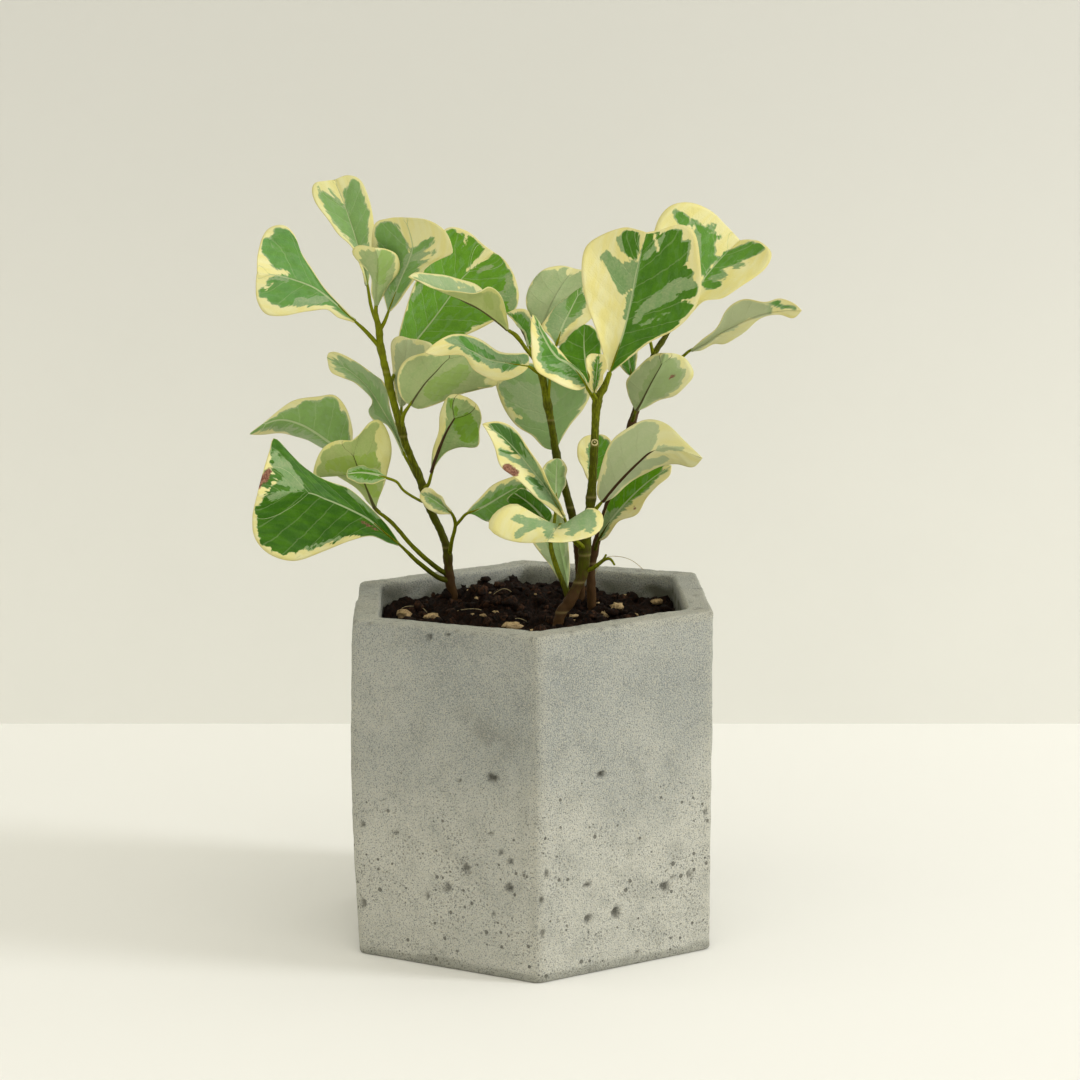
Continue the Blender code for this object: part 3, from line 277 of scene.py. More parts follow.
# The left stem and its leaves
LEFT_FOOT = [(-22.2, 22.4, 71, 1.5), (-22.2, 22.4, 83, 1.45)]
LEFT_STEM = [
    (-22.4, 96, 22, 1.3), (-23.4, 100, 21.5, 1.3), (-23.9, 105, 21, 1.25), (-24.3, 110, 20.5, 1.2),
    (-26, 115, 20, 1.15), (-29, 121.5, 19, 1.15), (-31.8, 130, 18, 1.1), (-35.8, 140, 17, 1.05),
    (-37.1, 145, 16, 1.1), (-38.6, 150, 16, 1.05), (-41, 160, 15, 1.05), (-42.8, 168.5, 14, 1),
    (-43.1, 173, 13, 0.85), (-44, 177, 12, 0.65), (-43.8, 180.5, 11.5, 0.5),
]
LEFT_LEAVES = [
    dict(petiole=[(-42.6, 167.5, 14, 0.7), (-46.5, 172, 12.5, 0.6)], base=(-49.5, 174.9), mid=(-55.5, 180.4,
        -61, 184.6, -67, 187, -72, 188.2, -77.4, 189), left=(-54.5, 176.2, -58, 178.8, -63.5, 178, -70, 176.8,
        -75, 177.3, -77.5, 181, -77.8, 185), right=(-55, 181, -60, 187, -64.5, 194, -66.8, 199.8, -70, 202.4,
        -74.5, 200.8, -77, 194.5), depth=(11, -4), arch=1.5, lift=(-3, -2), warm=0.15, deep=0.05, fork=0.9,
        painted_light=0.08, rim=0.7, strokes=[("green", -50.5, 176.5, 0.8, -57, 182, 1.8, -62.5, 187, 3), ("green",
        -63, 187.5, 3.6, -67, 193.5, 4.3), ("green", -68, 194, 4.3, -69.5, 197.5, 3.4), ("green", -71.5,
        197.5, 2.2, -71, 200, 1.6), ("green", -68, 197.5, 2.4, -67.5, 200, 1.2), ("green", -71.5, 192, 2, -75,
        197, 1.3), ("green", -59, 183, 3, -65.5, 183.5, 3.8), ("green", -66, 183.5, 3.8, -71, 184, 4.2),
        ("green", -71.5, 183.5, 3.4, -75.5, 183.5, 1.5), ("sage", -58, 181.5, 1, -65.5, 180.5, 1.4), ("sage",
        -69.5, 187.5, 0.7, -74, 187.5, 0.4), ("cream", -73, 189, 0.9, -69, 189, 0.2), ("cream", -75, 184.5,
        0.3, -72.5, 186.5, 0.2), ("cream", -73.5, 198.5, 0.35, -73, 196, 0.1)]),
    dict(petiole=[(-43.3, 173.5, 13, 0.55), (-45.2, 179, 15.5, 0.5)], base=(-46.2, 185), mid=(-47.5, 191,
        -49, 197, -50.5, 202, -52.5, 208, -55.3, 215), left=(-47.8, 190, -51, 196.5, -55, 201, -59, 206,
        -61.4, 211, -60.9, 214, -58, 214.7), right=(-45.3, 190, -44.3, 196.5, -44.4, 204, -45.8, 210.5,
        -48, 215, -51.5, 216.3), depth=(16.5, 26), arch=1, lift=(-3, 1),
        sage=(0.8, 0.6, 0.2, -0.3, -0.3, -0.3), warm=0.35, fork=0.95, painted_light=0.3, rim=0.7, strokes=[("green",
        -48.5, 197.5, 1.4, -53.5, 204.5, 2.6), ("green", -53.5, 204.5, 2.4, -58.5, 210.5, 1.1), ("sage",
        -59.5, 211.5, 0.5, -60, 213, 0.2), ("sage", -54, 209, 0.6, -57, 212.5, 0.3), ("green", -47.5, 198,
        1.2, -48.5, 205.5, 2.7), ("green", -48.5, 205.5, 2.8, -50, 210.5, 2.4), ("green", -50, 211, 2.2,
        -49.5, 214, 1.3), ("sage", -47.5, 195.5, 1, -47.5, 191, 0.8)]),
    dict(petiole=[(-44, 176.5, 12, 0.5)], base=(-43.8, 179.5), mid=(-43.7, 184, -43.3, 189, -43.3, 193,
        -44, 196), left=(-41.8, 182.5, -39.5, 186.5, -37.2, 190.5, -37.8, 194, -40.8, 195.6), right=(-45, 183,
        -45.3, 187.5, -48, 191.5, -50.4, 195, -48.5, 196.7), depth=(11.5, 3), arch=-1.5, lift=(2.5, 2),
        sage=((0.9, 0.86, 0.8, 0.7, 0.4), (0.9, 0.86, 0.82, 0.74, 0.4)), warm=0.6, fork=0.97, bleach=0.35,
        rib=0.15, painted_light=0.12, rim=0.5, strokes=[("green", -41, 193.5, 2.2, -42.5, 187, 1.2), ("cream", -48.5,
        196, 0.8, -44.5, 196, 0.8)]),
    dict(petiole=[(-43, 172.5, 13, 0.6), (-41.6, 175, 13, 0.55)], base=(-40.5, 177.8), mid=(-38.5, 183,
        -36.5, 188, -34.5, 192.5, -33.5, 197, -35.5, 204.5), left=(-42, 183, -44.3, 190, -45, 197, -44, 202.8,
        -40, 204.3), right=(-38, 180, -35, 184, -32.3, 187.8, -28.5, 191.6, -22.8, 193.8, -22.2, 196,
        -24.5, 200.7, -29.5, 203.9), depth=(13, 4), arch=1, lift=(-1, -5), sage=((0.9, 0.6, 0.2, -0.3, -0.3,
        -0.3, -0.3), (0.85, 0.7, 0.6, 0.2, -0.3, -0.3, -0.3)), warm=0.5, fork=0.95, painted_light=0.22, rim=0.5,
        strokes=[("green", -40.5, 200, 3.3, -38.5, 195.5, 3.6), ("green", -37.5, 194, 2.8, -36.5, 191.5, 1.8,
        -39.5, 183, 1), ("sage", -34, 193.5, 1.4, -36, 187.5, 1.8, -39, 182, 0.9), ("green", -33, 195, 0.9,
        -28, 198.5, 0.5), ("sage", -32, 193.5, 1.3, -27, 195, 0.5), ("green", -33, 191, 1.5, -37, 184.5, 1.3),
        ("sage", -31, 192, 0.9, -29.5, 192.5, 0.5)]),
    dict(petiole=[(-40.3, 157, 15.3, 0.6), (-39, 160, 20, 0.55)], base=(-37.6, 162.5), mid=(-34, 168,
        -28, 175.5, -23, 182.3, -19, 188, -10.6, 194.8), left=(-37.8, 167.5, -37, 174, -34, 183, -30.5, 191,
        -26.5, 198.5, -23, 201.7, -18, 200.6, -13.5, 196.9), right=(-33, 164.5, -25, 168.5, -17.5, 171.7,
        -10, 175.8, -5, 178, -3.6, 181.5, -4, 185.5, -5.6, 189.8, -8.2, 193.2), depth=(24, 42), arch=2,
        lift=(-2, -3), green=((1, 0.98, 0.97, 0.97, 0.97, 0.97, 0.96, 0.92, 0.86, 0.7), (1, 1, 0.98, 0.97,
        0.97, 0.96, 0.94, 0.93, 0.9, 0.6)), sage=((1.05, 1, 0.99, 0.99, 0.99, 0.98, 0.97, 0.94, 0.9, 0.75),
        (1.1, 1.1, 1, 1, 0.99, 0.98, 0.96, 0.95, 0.93, 0.7)), deep=0.1, fork=0.8, painted_light=0.04, rim=0.25,
        strokes=[("cream", -18, 201, 1.1, -19, 196.5, 0.2), ("cream", -22.5, 202.5, 0.5, -15.5, 199.5, 1),
        ("cream", -11, 196, 1.5, -15, 192, 0.8), ("cream", -15.5, 192, 0.7, -18, 189.5, 0.2), ("cream", -13.5,
        198, 1.3, -11.5, 196, 1.5), ("sage", -11.5, 191, 0.7, -15, 189, 0.3), ("sage", -6.5, 188, 1, -5.5,
        180, 1.6), ("sage", -31.5, 185, 0.8, -33.5, 181.5, 0.5), ("cream", -16.5, 172.5, 0.9, -9, 176, 0.6),
        ("sage", -9.5, 183.5, 0.6, -6, 181, 1.4)]),
    dict(petiole=[(-37, 144.5, 16.2, 0.65), (-36.4, 148.5, 13, 0.6)], base=(-34.6, 151.4), mid=(-33, 153.8,
        -30.2, 157.6, -27, 161, -24.3, 163.8, -20.5, 166.5), left=(-32, 150.3, -27, 151.6, -20, 154.7,
        -14, 156.1, -10, 157, -10, 161, -14.5, 165.5), right=(-36.4, 152.8, -37.6, 155, -38, 158.5,
        -37, 162.5, -34.5, 165.2, -30, 166.4, -25, 167), depth=(10.5, 19), arch=-0.5, lift=(4, -3), sage=((1,
        1, 1, 0.97, 0.92, 0.86, 0.5), (0.97, 0.95, 0.93, 0.9, 0.84, 0.75, 0.4)), warm=0.9, fork=0.84,
        bleach=0.4, painted_light=0.12, rim=0.5, strokes=[("cream", -29.5, 166.5, 0.7, -24, 166.5, 0.4), ("green", -20,
        160.5, 2.4, -27.5, 155.5, 3), ("cream", -13, 158.5, 1, -11, 158.5, 1.5)]),
    dict(petiole=[(-37.2, 146, 16, 0.6)], base=(-37, 150.5), mid=(-36.6, 157, -36, 163, -35.4, 167.5,
        -34.5, 170.4), left=(-34, 153.5, -31, 159, -28.5, 164.5, -28, 168.5, -31, 169.9), right=(-38.4, 153.5,
        -39.3, 160, -39.8, 166, -39.6, 169.6, -37.5, 171.1), depth=(19, 20), lift=(0, 0.5),
        sage=(0.8, 0.8, 0.75, 0.7, 0.5), warm=0.4, fork=0.85, bleach=0.9, rib=0.2, rim=0.6),
    dict(petiole=[(-33.2, 131.3, 18, 0.55), (-34.9, 134.6, 20, 0.5)], base=(-36, 136.6), mid=(-38.5, 143,
        -42, 149.5, -46.5, 156.5, -52, 161.5, -58, 165), left=(-38.3, 140.8, -41.5, 146, -44.8, 147,
        -46.4, 149.7, -45.6, 152.9, -49.5, 157.5, -54, 159.3, -57, 161), right=(-37.5, 142, -39.8, 149.5,
        -41.8, 157.3, -44.3, 160, -49, 163.3, -54.5, 166.3, -57.3, 166.4), depth=(21, 28), arch=2,
        lift=(-1, -1), green=((0.3, 0.4, 0.6, 0.6, 0.5, 0.3, 0.1), (0.5, 0.7, 0.7, 0.55, 0.4, 0.25, 0.1)),
        sage=((0.95, 1, 1, 1, 0.95, 0.6, 0.3), (1, 1, 1, 1, 0.97, 0.8, 0.3)), warm=0.3, fork=0.85, painted_light=0.4),
    dict(petiole=[(-43.5, 120.5, 14.3, 0.5), (-47.5, 125, 19, 0.45), (-49.6, 130, 21.6, 0.45)],
        base=(-50.5, 133.5), mid=(-54.5, 138, -59, 141.8, -65, 145.6, -71, 147.2, -76, 145.8, -80.3, 143),
        left=(-55, 136.8, -60.5, 139.2, -64.5, 141.8, -70, 143.3, -76, 142.9), right=(-51.2, 138.5, -51, 144,
        -52.8, 150.5, -56, 154.3, -61, 154, -67, 152.8, -72, 149.5, -77, 145.5), depth=(22.5, 38), arch=-2,
        lift=(7, 5), green=((0.85, 0.9, 0.92, 0.85, 0.66, 0.4, 0.2), (0.66, 0.86, 0.9, 0.8, 0.5, 0.3, 0.1)),
        sage=((1.1, 1.1, 1.1, 1, 0.85, 0.6, 0.3), (0.8, 0.92, 0.94, 0.86, 0.6, 0.4, 0.2)),
        pale=[(0.35, -0.6, 0.3, 0.35)], warm=0.8, deep=0.1, fork=0.85, painted_light=0.3),
    dict(petiole=[(-24.3, 102.5, 21, 0.8), (-28, 105, 19, 0.75), (-34, 110.5, 17, 0.65),
        (-40, 117.5, 15, 0.6)], base=(-44.7, 121.3), mid=(-46.5, 126, -48.3, 130.5, -50, 134.7, -51.2, 138.5,
        -51.2, 141.2), left=(-43.6, 125, -41.3, 131, -40, 137, -40.8, 143.3, -43, 147, -46, 146.5,
        -49.3, 142.8), right=(-47, 123.7, -50.5, 128, -55, 130.9, -59, 131.9, -62.2, 130.2, -61.7, 134.5,
        -59.5, 139, -55.5, 141.2), depth=(14, 4), lift=(3, 2), sage=(0.97, 0.97, 0.97, 0.95, 0.93, 0.9, 0.6),
        deep=0.05, fork=0.82, bleach=0.2, painted_light=0.3, rim=0.4, strokes=[("green", -49.5, 134.5, 3, -44, 136, 2),
        ("green", -52.5, 134.5, 2.6, -57.5, 134, 1.6), ("green", -48.5, 131, 2, -44.5, 126, 1.2), ("cream",
        -42, 143, 2.2, -41.5, 133, 1.8), ("cream", -60, 139.5, 0.7, -52.5, 141.5, 0.6), ("cream", -61, 136.5,
        0.7, -62, 130.5, 0.4), ("sage", -47, 140, 1.5, -49, 138, 1.5), ("cream", -44, 138, 0.8, -44, 136,
        0.5)]),
    dict(petiole=[(-30, 123.4, 18.5, 0.5), (-32.5, 124.2, 14, 0.45), (-36.5, 126.8, 9, 0.4),
        (-38.5, 129.3, 7, 0.4)], base=(-41.2, 130.4), mid=(-45, 131.5, -49, 132, -52.8, 131.6),
        left=(-43.8, 129.2, -47, 128.7, -50.5, 129.4, -52.5, 130.4), right=(-43, 132, -46, 133.4,
        -49.5, 133.9, -52.2, 133), depth=(5.5, -1), lift=(-2, 2), green=((0.6, 0.7, 0.6, 0.4),
        (0.45, 0.5, 0.5, 0.3)), sage=((1.1, 1.1, 1.1, 1), (1.1, 1.1, 1.1, 0.9)), deep=0.55, rim=0.12),
    dict(petiole=[(-24, 100.5, 21, 0.8), (-27.5, 102, 18, 0.75), (-33, 106.4, 13, 0.65)], base=(-37.5, 110.8),
        mid=(-42, 114.6, -46.5, 118.4, -52, 121.4, -58.5, 124.2, -65, 126.3, -78.4, 125.7), left=(-41, 111.6,
        -46, 113.6, -52, 112.3, -60, 109, -68, 106.4, -75, 108.2, -79.2, 113, -79.8, 119.5),
        right=(-41, 116.3, -46, 122, -52, 127.3, -58.5, 129.7, -64, 133, -69, 137.6, -73.3, 142, -74.8, 138,
        -76.6, 132), depth=(10, -16), arch=1.5, lift=(-4, -2), green=((1, 1, 0.99, 0.98, 0.98, 0.98, 0.98,
        0.97, 0.93, 0.8), (1, 1, 1, 1, 1, 1, 1, 1, 0.97, 0.8)), sage=((1.1, 1, 1, 1, 0.99, 0.99, 0.99, 0.98,
        0.95, 0.85), (1.1, 1.1, 1.1, 1.1, 1.1, 1.1, 1.1, 1.1, 1, 0.9)), warm=0.7, deep=1.0, fork=0.68,
        rim=0.15, strokes=[("sage", -51.5, 126.5, 0.9, -44, 119.5, 0.9), ("sage side", -66, 128.5, 0.8, -71,
        134, 2), ("sage side", -72.5, 134.5, 1.5, -73.5, 138, 0.7), ("sage", -66, 127.5, 0.7, -74.5, 125, 1),
        ("sage side", -66, 128, 0.8, -71.5, 129.5, 1), ("green", -69.5, 127.5, 0.7, -74, 128, 0.8), ("cream",
        -76, 134.5, 1, -73, 130, 0.5), ("cream", -77, 127, 1.2, -78.5, 123.5, 1.1), ("cream", -75.5, 140, 0.6,
        -75.5, 135.5, 1.2), ("cream", -76, 126, 0.4, -73.5, 129.5, 0.3), ("brown", -76.5, 130, 1.1, -75,
        132.5, 0.8), ("brown", -78, 127.5, 0.4, -77.5, 128.5, 0.4), ("cream", -79.5, 119, 0.7, -78.5, 110.5,
        0.7), ("cream", -78.5, 111, 0.6, -71.5, 107.5, 0.8), ("cream", -71.5, 107, 1.1, -56, 111, 1.1),
        ("cream", -56, 111.5, 1, -49.5, 113.5, 0.5), ("sage", -64.5, 110, 0.5, -55, 113, 0.5), ("brown", -49,
        118, 0.35, -44.5, 115.5, 0.25)]),
    dict(petiole=[(-31.2, 127.5, 18, 0.6), (-29.6, 128.4, 16, 0.55)], base=(-28.6, 131.5), mid=(-27, 136.5,
        -25.5, 140.5, -23.7, 144.5, -21.8, 147.7, -18.3, 153.7), left=(-26.5, 135.3, -24, 138, -20, 139.3,
        -15.2, 139.7, -14.9, 144, -14.2, 148, -15.4, 151.5), right=(-28.5, 135.5, -27.3, 141, -26.2, 146.5,
        -25.2, 151, -24, 153.8, -21.5, 154.6), depth=(14, 3), lift=(-1, 5), sage=((1.1, 1.1, 1.1, 1.1, 1.1, 1,
        1), (1, 1, 1, 1, 1, 1, 1)), deep=0.25, fork=0.72, bleach=0, rib=1.3, painted_light=0.1, rim=0.2,
        strokes=[("green", -20, 146, 2.4, -18, 143.5, 3), ("green", -18, 147, 2.2, -16.5, 142, 1.4), ("green",
        -23, 152.5, 0.6, -21.5, 149, 0.8), ("cream side", -25, 153, 1, -25.5, 145, 1.1, -27.5, 136, 0.5),
        ("sage side", -24, 147, 0.3, -26.5, 136, 0.3), ("cream", -23.5, 154.5, 0.9, -18, 153.5, 0.9, -15, 150,
        0.4)]),
    dict(petiole=[(-23.7, 107.5, 21, 0.7), (-22.9, 112, 17, 0.6), (-21.8, 117, 14, 0.55)],
        base=(-22.8, 120.1), mid=(-26, 122.8, -29, 124.8, -31.8, 126.2), left=(-25, 119.9, -27.5, 120.3,
        -30, 121.8, -31.8, 124.3), right=(-24, 122.3, -26, 125.3, -28.5, 127.2, -30.5, 127.6), depth=(12, 9),
        lift=(-1, -1), green=((0.35, 0.4, 0.35, 0.2), (0.3, 0.35, 0.3, 0.2)), sage=((0.6, 0.65, 0.6, 0.4),
        (0.6, 0.6, 0.55, 0.4)), warm=0.9, bleach=0.4, painted_light=0.3),
    dict(petiole=[(-21.9, 116.5, 14.3, 0.5), (-20.4, 118.2, 12.5, 0.45)], base=(-18.8, 120), mid=(-14, 122,
        -9, 125, -5, 127.3, -1.5, 128.5), left=(-17.5, 121.8, -14, 125.7, -9.5, 129.2, -5, 131, -2, 130.6),
        right=(-16.5, 119.8, -12.5, 117.8, -8, 118.2, -4, 120.8, -1.2, 125), depth=(11, 5), arch=1,
        lift=(2, 0), green=((0.3, 0.4, 0.45, 0.35, 0.2), (0.85, 0.9, 0.9, 0.85, 0.6)),
        sage=((0.75, 0.75, 0.75, 0.66, 0.4), (1, 1, 1, 0.97, 0.8)), warm=0.7, deep=0.1, fork=0.85, painted_light=0.1),
]

# The middle stem, behind the others
MIDDLE_FOOT = [(14.4, 21, 71, 1.5), (14.4, 21, 86, 1.45)]
MIDDLE_STEM = [
    (13.9, 100, 20, 1.35), (13.5, 108, 19, 1.3), (12.2, 117, 18, 1.2), (9.8, 126.5, 17, 1.15),
    (7.3, 136, 16, 1.1), (5.8, 145, 15, 1.05), (4.3, 153, 14, 1.1), (2.8, 160.5, 13, 0.95),
    (1.2, 164, 12, 0.7), (-1.2, 167, 10, 0.6), (-4.2, 171, 8, 0.55), (-6.4, 172.6, 7, 0.5),
]
MIDDLE_LEAVES = [
    dict(petiole=[(-4.2, 171, 8, 0.5)], base=(-6.4, 172.6), mid=(-10, 175.5, -15, 179, -20, 181.6, -25, 183.7,
        -30, 186, -34.8, 187.8), left=(-6.8, 176, -8.6, 182, -12, 185.1, -16, 183.4, -22, 183.5, -28, 184.9,
        -32.5, 187), right=(-9, 178, -13, 182.8, -16.5, 186, -22, 187.8, -28, 188.5, -32.5, 189.1),
        depth=(7, -10), lift=(-7, 6), sage=(0.7, 0.8, 0.7, 0.5, 0.4, 0.3), warm=0, deep=0.15, fork=0.85,
        painted_light=0.4, rim=0.5, strokes=[("sage", -31, 188, 1.1, -24, 186.5, 1.7), ("sage", -24, 186.5, 1.5, -17,
        184.5, 0.5), ("cream", -22.5, 188.5, 0.4, -15.5, 186, 0.5), ("sage", -22.5, 182.5, 1.6, -11.5, 180.5,
        3), ("green", -12.5, 182.5, 1.2, -11.5, 179.5, 1)]),
    dict(petiole=[(2.9, 160, 13, 0.65), (0.8, 161.4, 11.5, 0.55)], base=(-0.8, 162.4), mid=(-6, 163.3,
        -12, 164.3, -17, 166.8, -22, 168.6, -30.4, 166.3), left=(-2.5, 160.6, -6, 158.9, -11, 158.5,
        -15.5, 160.8, -18.5, 165, -22.5, 165.6, -27, 165.6), right=(-1, 166, -5, 166.2, -9, 166.7, -14, 169.8,
        -19, 171.6, -23, 171.4, -27, 169.3), depth=(10.5, -6), arch=-1, lift=(-4, 1), warm=0.2, deep=0.15,
        bleach=0.7, rim=0.6, stop=0.74, strokes=[("sage", -24, 171, 1.3, -17.5, 169, 3), ("sage", -17.5,
        168.5, 3, -9.5, 166, 2.6), ("sage", -9.5, 166, 2.2, -1.5, 166, 1.2), ("sage", -17, 166.5, 1.4, -11.5,
        164, 1.9, -7.5, 163, 1.9), ("sage", -7.5, 163, 1.8, -1.5, 165, 1.2), ("green", -20, 170.5, 0.7, -16,
        167, 1.1), ("green", -15, 167.5, 0.5, -11.5, 165, 0.8), ("green", -7.5, 162, 0.9, -4, 163.5, 0.7),
        ("green", -16.5, 165.5, 0.4, -15, 164, 0.4), ("sage", -23, 167.5, 0.5, -20, 169, 0.4)]),
    dict(petiole=[(7.1, 136.8, 16, 0.6)], base=(6.9, 138.3), mid=(5.5, 146, 4, 154, 3, 163), left=(3.5, 139.2,
        0, 142.7, -4, 145.2, -7, 149, -9.3, 154, -10, 159, -6, 163.5), right=(8.8, 142, 11.5, 146.3,
        14.8, 150.5, 17, 155.5, 16.5, 161, 11, 164), depth=(18, 32), arch=1, lift=(2, 1), green=((0.95, 0.93,
        0.9, 0.85, 0.85, 0.8, 0.6), (0.93, 0.9, 0.88, 0.85, 0.84, 0.8, 0.6)), sage=((0.97, 0.96, 0.94, 0.93,
        0.92, 0.9, 0.7), (0.97, 0.95, 0.93, 0.9, 0.9, 0.88, 0.7)), warm=0.4, painted_light=0.45, rim=0.7,
        strokes=[("sage", -7.5, 156.5, 2, 2.5, 149, 3), ("sage", -3, 156.5, 2, 4.5, 153.5, 3), ("green", -4,
        146, 1.4, 3.5, 142.5, 2.6), ("green", -9, 157, 0.5, -6, 153.5, 0.8), ("cream", -6, 150, 0.6, -3,
        147.5, 0.5)]),
    dict(petiole=[(4.7, 151.5, 14.2, 0.55), (5, 156, 13, 0.45), (5.6, 162.5, 12.5, 0.45)], base=(7, 168.4),
        mid=(8.7, 173.5, 11, 178.3, 14.5, 185.2), left=(5.5, 170.6, 2.9, 173.5, 4, 176, 7, 179.5, 11, 182.9),
        right=(8.6, 168.6, 12, 171.4, 16, 175.3, 18.5, 178.5, 17.5, 183), depth=(12, 22), lift=(1, -1),
        sage=((0.8, 0.85, 0.8, 0.7, 0.4), (0.5, 0.5, 0.5, 0.4, 0.3)), warm=0.7, deep=0.3, fork=0.85,
        painted_light=0.12, strokes=[("green", 13, 184.5, 1, 10.5, 179.5, 1.3), ("green", 14, 181, 1.6, 11, 177, 1),
        ("sage", 9, 180.5, 1.4, 6, 175.5, 1.4, 6.5, 171, 0.7), ("cream", 16.5, 178.5, 0.9, 8, 170, 0.7)]),
    dict(petiole=[(1.8, 162.5, 12.5, 0.6), (1.6, 168, 17, 0.5)], base=(3, 174), mid=(5, 179, 8, 184.5,
        12, 190.2), right=(-0.3, 176.8, -1.6, 181, -0.2, 186, 3.4, 189.8, 8, 191), left=(6, 177.2, 11, 180.5,
        15.5, 185, 15.5, 189), depth=(20, 30), lift=(1, 1), sage=(1, 1, 1, 0.95, 0.8), warm=0.8, deep=0.2,
        rib=0.25, strokes=[("cream", 10.5, 189, 0.8, 13, 190.5, 1.1), ("cream", 3, 190, 0.5, 7.5, 190.5,
        0.5)]),
    dict(petiole=[(1.2, 163.7, 12.1, 0.5), (0.5, 165.8, 15.4, 0.4)], base=(-0.4, 167.6), mid=(-2, 171.5,
        -4, 175, -7, 177.6), left=(-1.2, 170.3, -2.8, 173.4, -5.2, 175.5), right=(0.4, 171, 0.2, 175,
        -1, 178.3, -4, 178.8), depth=(17.3, 24), lift=(-1, 0), green=((0.8, 0.8, 0.7, 0.4),
        (0.7, 0.7, 0.6, 0.4)), sage=((0.95, 0.9, 0.8, 0.6), (0.9, 0.9, 0.8, 0.5)), warm=0.6, deep=0.2,
        fork=0.85),
]

# The front stem, with the side shoot at its foot
FRONT_FOOT = [(6.4, -6.4, 71, 1.6), (6.6, -6.4, 84, 1.6)]
FRONT_STEM = [
    (8.4, 91, -6, 1.55), (10.4, 93.7, -5.6, 1.5), (12.9, 98.6, -5, 1.5), (14.5, 102.4, -4.5, 1.6),
    (15, 106, -4, 1.6), (15.3, 110, -3.5, 1.55), (16.2, 117, -3, 1.35), (17.1, 126, -2, 1.25),
    (17.6, 134, -1.5, 1.2), (18, 142, -1, 1.15), (18.3, 149, 0, 1.15), (18.9, 153.5, 0, 1.15),
    (20.5, 156.2, 0, 0.9), (22.2, 160.6, 0, 0.7),
]
FRONT_TWIGS = [
    [(10.8, 94.4, -5.4, 0.8), (9.3, 99, -4.5, 0.8), (7, 105, -3, 0.75), (5.7, 109.5, -1.5, 0.7),
    (5.2, 113.5, -1, 0.6)], [(15.4, 103.4, -4.3, 0.65), (17.8, 104.4, -5.5, 0.6), (20.8, 106.7, -7, 0.5),
    (22.6, 106.9, -7.8, 0.4), (23.8, 105.2, -8.4, 0.3)], [(20.2, 106.2, -6.8, 0.35),
    (21.4, 108.2, -7.2, 0.3)],
]
